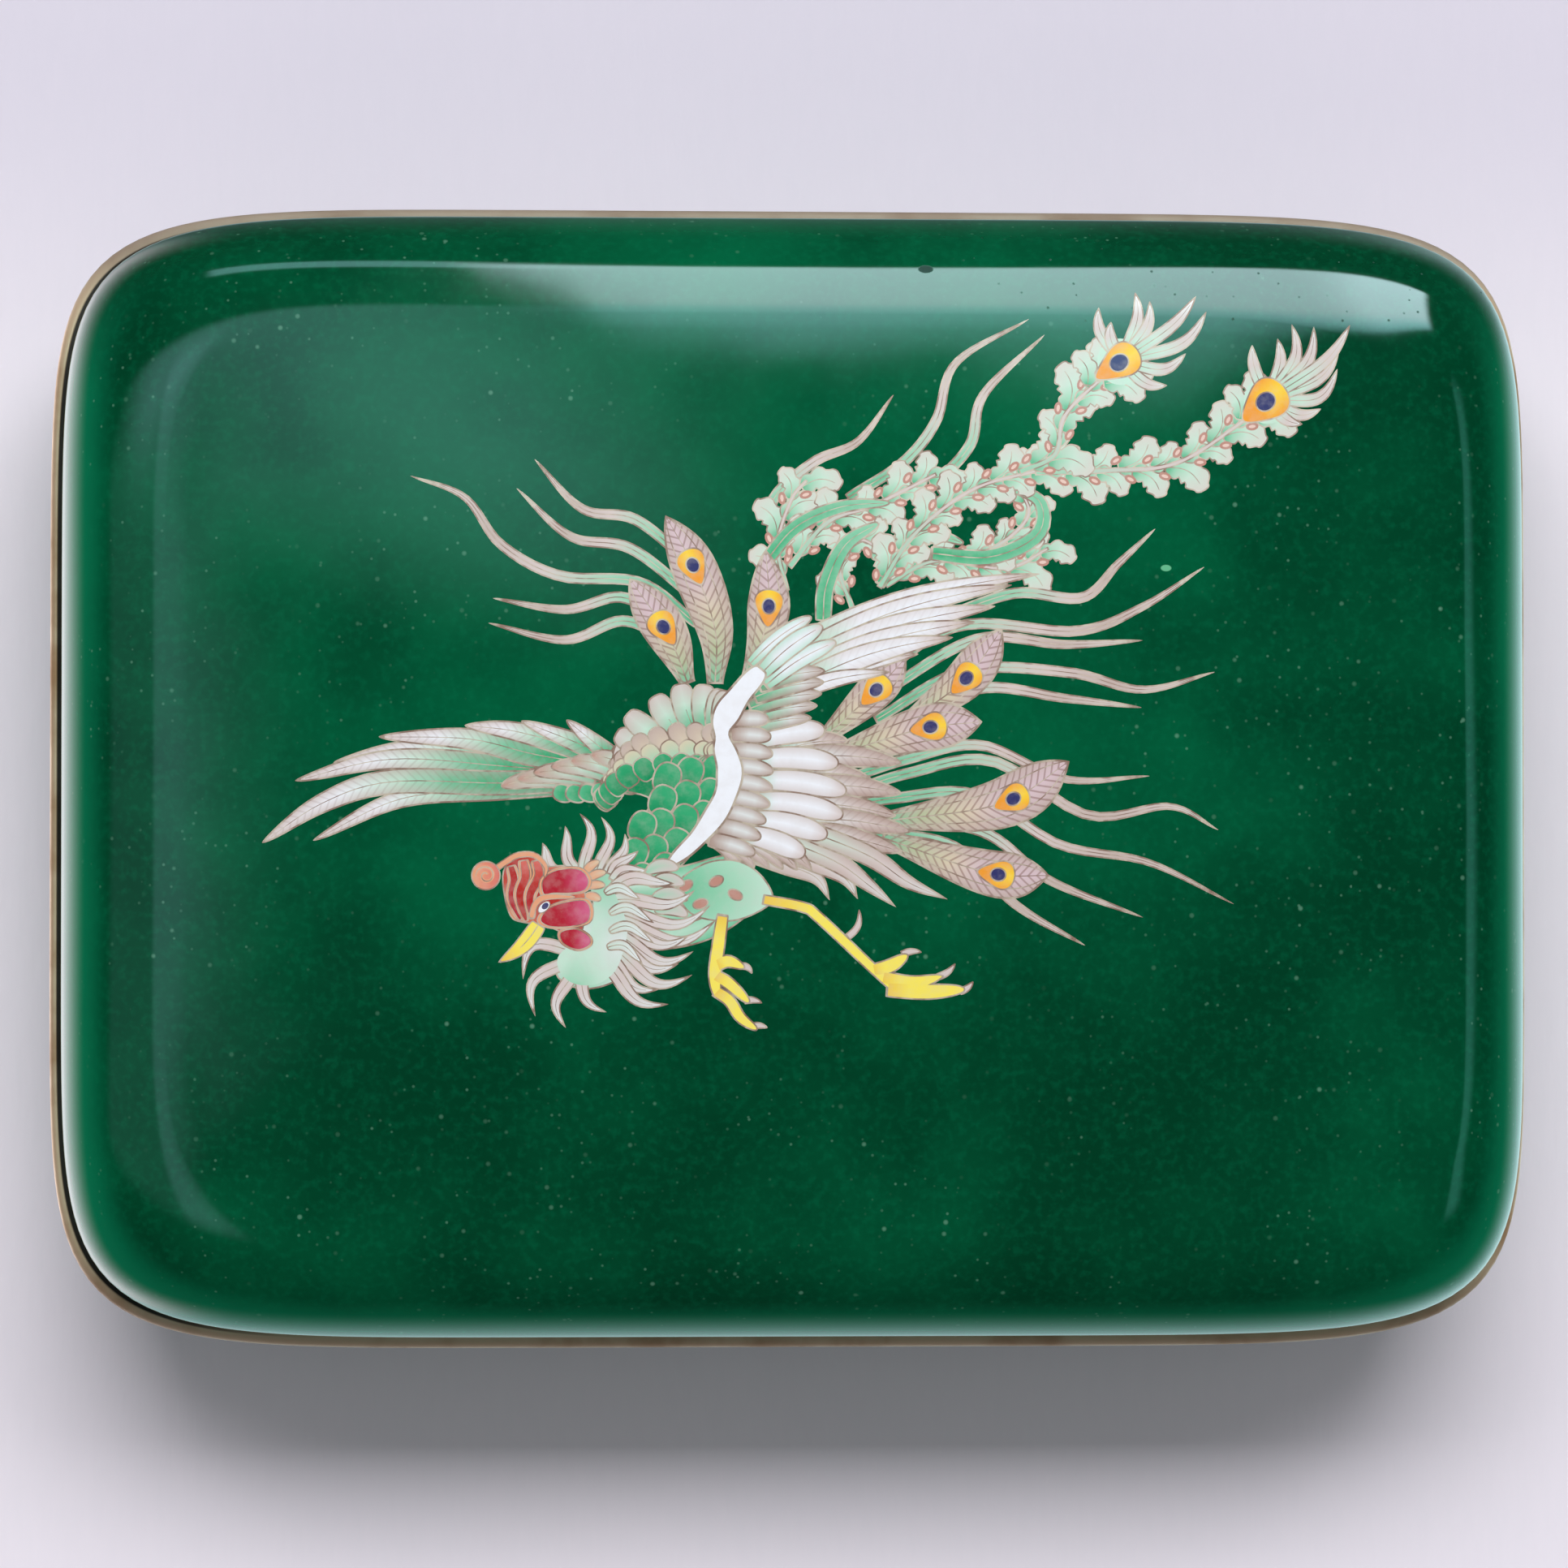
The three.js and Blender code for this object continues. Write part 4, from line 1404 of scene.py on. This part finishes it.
def lid_section(wall):
    """The lid's shell, from the middle of its inside down to its open edge and up over the outside."""
    inner_run = SHOULDER_RUN - wall / 2
    inner_rise = SHOULDER_RISE - wall
    inside = [(RIM_INSIDE, LID_BOTTOM, 0)]
    inside += rounded_edge(wall, SHOULDER_FOOT, inner_run, inner_rise, SHOULDER_POWER, 12)
    inside += flat(wall + inner_run, SHOULDER_FOOT + inner_rise, 1, 8)
    outside = tucked_wall(LID_BOTTOM, SHOULDER_FOOT)
    outside += rounded_edge(0, SHOULDER_FOOT, SHOULDER_RUN, SHOULDER_RISE, SHOULDER_POWER, 36)
    outside += flat(SHOULDER_RUN, SHOULDER_FOOT + SHOULDER_RISE, 1, 28)
    return inside[::-1] + outside


def tray_section(wall):
    """The tray's shell, from the middle of its underside over the foot ring, up, and back down inside."""
    drop = HEEL_TOP - UNDERSIDE
    foot_inside = FOOT_INSET + FOOT_BAND
    outside = tucked_wall(TRAY_TOP, HEEL_TOP)
    outside += rounded_edge(0, HEEL_TOP, HEEL_RUN, -drop, HEEL_POWER, 30)
    fillet = 0.3
    outside += [(FOOT_INSET - fillet, UNDERSIDE, 0), (FOOT_INSET, UNDERSIDE - fillet, 0)]
    outside += [(FOOT_INSET, FOOT_EASE, 0), (FOOT_INSET + FOOT_CORNER, FOOT_CORNER, 0)]
    outside += [(FOOT_INSET + FOOT_EASE, 0, 0), (foot_inside - FOOT_EASE, 0, 0)]
    outside += [(foot_inside - FOOT_CORNER, FOOT_CORNER, 0)]
    outside += [(foot_inside, FOOT_EASE, 0), (foot_inside, UNDERSIDE, 0)]
    outside += flat(foot_inside, UNDERSIDE, 0, 8)
    inside = [(RIM_INSIDE, TRAY_TOP, 0)]
    inside += rounded_edge(wall, HEEL_TOP, HEEL_RUN, wall - drop, HEEL_POWER, 12)
    inside += flat(wall + HEEL_RUN, UNDERSIDE + wall, 0, 8)
    return [(inset, height, 0) for inset, height, _ in outside[::-1] + inside]


def bead_section(bottom, top):
    """A rim's rounded outer edge in section, from its underside up to its top."""
    middle = (bottom + top) / 2
    half = (top - bottom) / 2
    depth = BEAD * 0.7
    roundness = 0.8
    return [
        (-BEAD + depth * (1 - abs(math.cos(turn)) ** roundness), middle + half * math.sin(turn), 0)
        for turn in np.linspace(-math.pi / 2, math.pi / 2, 13)
    ]


def lid_rim_section():
    """The lid's rim: its bead, and a flat band inside."""
    section = bead_section(LID_RIM_LOW.z, LID_BOTTOM)
    section += [(RIM_INSIDE, LID_BOTTOM, 0), (RIM_INSIDE, LID_RIM_LOW.z, 0)]
    return section + section[:1]


def tray_rim_section():
    """The tray's rim: its bead, and the upstanding lip that locates the lid."""
    seam = LID_RIM_LOW.z - SEAM
    lip_outside = RIM_INSIDE + LIP_PLAY
    lip_inside = lip_outside + LIP_THICK
    lip_top = TRAY_RIM_HIGH.z
    ease = 0.2
    section = bead_section(TRAY_TOP, seam)
    section += [(lip_outside, seam, 0), (lip_outside, lip_top - ease, 0), (lip_outside + ease, lip_top, 0)]
    section += [(lip_inside - ease, lip_top, 0), (lip_inside, lip_top - ease, 0)]
    section += [(lip_inside, TRAY_RIM_LOW.z, 0), (lip_outside, TRAY_RIM_LOW.z, 0)]
    section += [(lip_outside, TRAY_TOP, 0)]
    return section + section[:1]


# ---------------------------------------------------------------- settings


def colour_setting(name, description, *parts):
    """A colour property whose default is a screen colour."""
    return bpy.props.FloatVectorProperty(
        name=name, description=description, default=linear(*parts), size=4, min=0, max=1, subtype="COLOR"
    )


class BoxSettings(bpy.types.PropertyGroup):
    """Thickness and colours of the box."""

    wall: bpy.props.FloatProperty(
        name="Wall",
        description="Thickness of the enamelled shells",
        default=0.002,
        min=0.001,
        max=0.0022,
        unit="LENGTH",
    )
    dark_enamel: colour_setting("Dark enamel", "Green of the enamel where it is thick", 1, 58, 34)
    light_enamel: colour_setting("Light enamel", "Green of the enamel where it is clouded", 2, 93, 58)
    # Painted light: the lighter green of the rounded edge stands for light bounced up from the floor
    painted_edge_light: colour_setting("Edge enamel", "Green of the enamel at the rounded edge", 10, 148, 102)
    gilding: colour_setting("Gilding", "Colour of the rims", 238, 208, 172)
    tarnish: colour_setting("Tarnish", "Colour of the rims where they are browned", 198, 156, 116)


class PictureSettings(bpy.types.PropertyGroup):
    """Sizes and colours of the inlaid picture."""

    wire_width: bpy.props.FloatProperty(
        name="Wire width",
        description="Width of the wires, as a share of the drawn width",
        default=1.0,
        min=0.5,
        max=1.5,
        subtype="FACTOR",
    )
    lift: bpy.props.FloatProperty(
        name="Lift",
        description="How far the polished picture stands over the enamel round it",
        default=0.00002,
        unit="LENGTH",
    )
    depth: bpy.props.FloatProperty(
        name="Depth",
        description="How deep the picture's enamels and wires are set",
        default=0.0003,
        unit="LENGTH",
    )
    bright_wire: colour_setting("Bright wire", "Colour of the wires where they are polished", 204, 184, 166)
    dull_wire: colour_setting("Dull wire", "Colour of the wires where they are browned", 148, 116, 102)


class StudioSettings(bpy.types.PropertyGroup):
    """Where the camera and the lights stand."""

    camera_height: bpy.props.FloatProperty(
        name="Camera height",
        description="How far the camera hangs above the lid",
        default=0.6,
        unit="LENGTH",
    )
    camera_offset: bpy.props.FloatVectorProperty(
        name="Camera offset",
        description="How far the camera hangs to the side and to the front of the picture's middle",
        size=2,
        default=(-0.0345, -0.013),
        subtype="TRANSLATION",
    )
    framed_width: bpy.props.FloatProperty(
        name="Framed width",
        description="Width of the view at the height of the lid's edge",
        default=0.1395,
        unit="LENGTH",
    )
    key_light: bpy.props.FloatProperty(
        name="Key light",
        description="Power of the light that casts the box's shadow, in watts",
        default=31.0,
    )
    fill_light: bpy.props.FloatProperty(
        name="Fill light",
        description="Strength of the even light from all around",
        default=0.3,
    )
    window_light: bpy.props.FloatProperty(
        name="Window light",
        description="Strength of the tall window mirrored along the far edge of the lid",
        default=8.5,
    )
    floor: colour_setting("Floor", "Colour of the cover that the box stands on", 242, 234, 244)


# ---------------------------------------------------------------- operators


def dress_in_enamel(shell, node):
    """Finishes a shell in the green enamel, which the lid and the tray share."""
    box = bpy.context.scene.box_settings
    enamel = bpy.data.materials.get("fired_green") or green_enamel(box)
    finish_piece(shell, enamel, node, 50)


class BOX_OT_lid(bpy.types.Operator):
    """Model the lid's enamelled shell"""

    bl_idname = "enamel_box.lid"
    bl_label = "Enamelled lid"
    bl_options = {"REGISTER", "UNDO"}

    def execute(self, context):
        box = context.scene.box_settings
        lid = extruded_rings("lid_enamel", lid_section(box.wall / MM), closed=False)
        dress_in_enamel(lid, "lid")
        return {"FINISHED"}


class BOX_OT_tray(bpy.types.Operator):
    """Model the tray's enamelled shell with its foot ring"""

    bl_idname = "enamel_box.tray"
    bl_label = "Enamelled tray"
    bl_options = {"REGISTER", "UNDO"}

    def execute(self, context):
        box = context.scene.box_settings
        tray = extruded_rings("tray_enamel", tray_section(box.wall / MM), closed=False)
        dress_in_enamel(tray, "tray")
        return {"FINISHED"}


class BOX_OT_rims(bpy.types.Operator):
    """Model the two gilt rims, the lower one with the lip that locates the lid"""

    bl_idname = "enamel_box.rims"
    bl_label = "Gilt rims"
    bl_options = {"REGISTER", "UNDO"}

    def execute(self, context):
        metal = gilt(context.scene.box_settings)
        lid_rim = extruded_rings("lid_rim_band", lid_rim_section(), closed=True)
        finish_piece(lid_rim, metal, "lid_rim", angle=40)
        tray_rim = extruded_rings("tray_rim_band", tray_rim_section(), closed=True)
        finish_piece(tray_rim, metal, "tray_rim", angle=40)
        return {"FINISHED"}


class BOX_OT_picture(bpy.types.Operator):
    """Draw the phoenix and set its enamels and wires into the lid"""

    bl_idname = "enamel_box.picture"
    bl_label = "Inlaid picture"
    bl_options = {"REGISTER", "UNDO"}

    def execute(self, context):
        picture = context.scene.picture_settings
        phoenix = draw_phoenix(picture.wire_width)
        enamels, wires = inlay_picture(phoenix, picture.lift / MM, picture.depth / MM)
        finish_piece(enamels, picture_enamel(), angle=0)
        finish_piece(wires, silver_wire(picture), angle=0)
        return {"FINISHED"}


class BOX_OT_studio(bpy.types.Operator):
    """Set the pale floor, the soft lights and the camera"""

    bl_idname = "enamel_box.studio"
    bl_label = "Studio"
    bl_options = {"REGISTER", "UNDO"}

    def execute(self, context):
        studio = context.scene.studio_settings
        lay_floor(studio)
        light_world(studio)
        hang_key_light(studio)
        context.scene.view_settings.view_transform = "Standard"
        set_camera(studio)
        return {"FINISHED"}


def lay_floor(studio):
    """The pale cover under the box, which the enamel doesn't mirror."""
    deselect_all()
    bpy.ops.mesh.primitive_plane_add(size=6.0)
    floor = bpy.context.object
    floor.name = floor.data.name = "floor"
    floor.data.materials.append(cloth(studio))
    floor.visible_glossy = False


def light_world(studio):
    """Three surrounds in one: a pale backdrop, an even fill, and what the polished enamel mirrors."""
    world = bpy.data.worlds.new("studio_surround")
    bpy.context.scene.world = world
    paint = Paint(world)
    glow, mirrored = mirrored_room(paint, studio.window_light)
    seen = paint.node("ShaderNodeLightPath", output="Is Camera Ray")
    glossy = paint.node("ShaderNodeLightPath", output="Is Glossy Ray")
    fill, backdrop = (0.97, 0.98, 1.0, 1), (0.86, 0.85, 0.89, 1)
    colour = paint.mix(seen, paint.mix(glossy, fill, mirrored), backdrop)
    strength = seen + (1 - seen) * (glossy * glow + (1 - glossy) * studio.fill_light)
    background = paint.node("ShaderNodeBackground", sockets={"Color": colour, "Strength": strength})
    paint.node("ShaderNodeOutputWorld", sockets={"Surface": background})


def mirrored_room(paint, window_light):
    """Strength and colour of the mirrored room, by direction.

    It is dark but for a tall window behind the box, a faint haze and strip to its left, a thin strip to its
    right, and the pale table close below. depth is how far back a direction points for each step up.
    """
    aside, back, up = paint.parts(paint.node("ShaderNodeTexCoord", output="Generated"))
    depth = back / up.at_least(0.01)
    off = depth - 0.023
    overhead = paint.between(up, 0.0, 0.02)
    window, over_sill = mirrored_window(paint, aside, depth)
    room = left_haze(paint, aside, depth) + left_strip(paint, aside, depth, off)
    room = window * window_light + (room + right_strip(paint, aside, depth, off))
    beside = 1.3 * paint.between(aside, -0.1, -0.4) + 0.6 * paint.between(aside, 0.1, 0.4)
    table = paint.between(up, -0.25, -0.85) * (0.7 + beside - 0.6 * paint.between(back, 0.1, 0.4))
    sky, low_sky, teal, table_tint = (
        (0.68, 0.94, 1.0, 1), (0.4, 0.87, 0.92, 1), (0.22, 1.0, 0.84, 1), (0.86, 0.82, 0.88, 1)
    )
    near_sill = paint.between(over_sill, 0.25, 0.0) * overhead
    colour = paint.mix(near_sill, sky, low_sky)
    colour = paint.mix(paint.between(aside, 0.62, 0.68) * near_sill, colour, teal)
    colour = paint.mix(paint.between(aside, -0.1, -0.3) * paint.between(up, 0.0, -0.1), colour, table_tint)
    return overhead * room + table + 0.02, colour


def mirrored_window(paint, aside, depth):
    """The tall window with its slanted sill and a dimmer lintel to its left, and the depth over the sill."""
    left_slant = 150.0 * (0.006 - aside).at_least(0.0)
    right_slant = 1.35 * (aside - 0.2).at_least(0.0)
    sill = 0.316 + left_slant + right_slant - 0.09 * paint.between(aside, 0.09, 0.2)
    over_sill = (depth - sill).at_least(0.0)
    pane = over_sill / (over_sill + 0.035) * paint.between(depth, 2.75, 2.35)
    pane = pane * paint.within(aside, -0.012, 0.014, 0.55, 0.6) * (1 + 0.4 * paint.between(aside, 0.2, 0.34))
    lintel = paint.within(depth, 1.9, 2.15, 2.75, 3.1) * paint.within(aside, -0.31, -0.27, -0.004, 0.02)
    return pane + lintel * 0.4, over_sill


def left_haze(paint, aside, depth):
    """The faint haze to the left of the window."""
    haze = paint.within(aside, -0.9, -0.4, -0.06, 0.06) * paint.within(depth, 0.09, 0.18, 0.36, 0.46)
    return haze * (1 + 0.5 * paint.between(depth, 0.16, 0.22)) * 1.05


def left_strip(paint, aside, depth, off):
    """The strip along the lid's left side, bowed round its middle, in a dim glow."""
    from_bow = aside - ((off * off).at_most(0.015) * 4.5 - 0.216)
    strip = 0.75 * paint.within(from_bow, -0.2, -0.13, -0.012, 0.012)
    glow = 0.3 * paint.within(aside, -0.97, -0.9, -0.21, -0.16)
    return (strip + glow) * paint.within(depth, -0.55, -0.3, 0.2, 0.4) * 1.1


def right_strip(paint, aside, depth, off):
    """The thin strip along the lid's right side, bent at its middle."""
    from_bend = aside - (0.83 - 0.45 * abs(off).at_most(0.3))
    strip = paint.within(from_bend, -0.04, -0.01, 0.03, 0.12)
    return strip * paint.within(depth, -0.9, -0.6, 0.3, 0.45) * 1.2


def hang_key_light(studio):
    """The light that casts the box's shadow, which the enamel doesn't mirror."""
    middle = (0, 0, SHOULDER_FOOT * MM)
    key = soft_light("key_light", (0.0, 0.85, 1.6), middle, size=(1.5, 0.6), power=studio.key_light)
    key.visible_glossy = False


def soft_light(name, place, target, size, power):
    """An area light of a length and a width at a place, turned to a target."""
    light = bpy.data.lights.new(name, "AREA")
    light.shape = "RECTANGLE"
    light.size, light.size_y = size
    light.energy = power
    lamp = bpy.data.objects.new(name, light)
    bpy.context.collection.objects.link(lamp)
    lamp.location = place
    lamp.rotation_euler = (Vector(target) - Vector(place)).to_track_quat("-Z", "Y").to_euler()
    return lamp


def set_camera(studio):
    """Hangs the camera over the lid, a little to the left and front, and squares it to the box."""
    sensor = 36.0
    target = Vector((-0.001, -0.00064, SHOULDER_FOOT * MM))  # the middle of the view, on the lid's edge
    offset = Vector((studio.camera_offset[0], studio.camera_offset[1], studio.camera_height))
    camera_data = bpy.data.cameras.new("camera")
    camera_data.sensor_width = sensor
    camera_data.lens = sensor * offset.length / studio.framed_width
    camera_data.dof.use_dof = False
    camera = bpy.data.objects.new("camera", camera_data)
    bpy.context.collection.objects.link(camera)
    back = offset.normalized()
    right = Vector((0, 1, 0)).cross(back).normalized()
    up = back.cross(right)
    turn = Matrix((right, up, back)).transposed()
    camera.matrix_world = Matrix.Translation(target + offset) @ turn.to_4x4()
    bpy.context.scene.camera = camera


class BOX_PT_panel(bpy.types.Panel):
    """Steps of the enamel box, in order"""

    bl_label = "Enamel Box"
    bl_idname = "BOX_PT_panel"
    bl_space_type = "VIEW_3D"
    bl_region_type = "UI"
    bl_category = "Enamel Box"

    def draw(self, context):
        layout = self.layout
        for step in STEPS:
            layout.operator(step.bl_idname)
        for name, group in SETTINGS.items():
            box = layout.box()
            for setting in group.__annotations__:
                box.prop(getattr(context.scene, name), setting)


STEPS = (BOX_OT_lid, BOX_OT_tray, BOX_OT_rims, BOX_OT_picture, BOX_OT_studio)
SETTINGS = {
    "box_settings": BoxSettings,
    "picture_settings": PictureSettings,
    "studio_settings": StudioSettings,
}
CLASSES = tuple(SETTINGS.values()) + STEPS + (BOX_PT_panel,)


def register():
    for cls in CLASSES:
        bpy.utils.register_class(cls)
    for name, group in SETTINGS.items():
        setattr(bpy.types.Scene, name, bpy.props.PointerProperty(type=group))


def unregister():
    for name in SETTINGS:
        delattr(bpy.types.Scene, name)
    for cls in reversed(CLASSES):
        bpy.utils.unregister_class(cls)


def main():
    register()
    bpy.ops.enamel_box.lid()
    bpy.ops.enamel_box.tray()
    bpy.ops.enamel_box.rims()
    bpy.ops.enamel_box.picture()
    bpy.ops.enamel_box.studio()


if __name__ == "__main__":
    main()
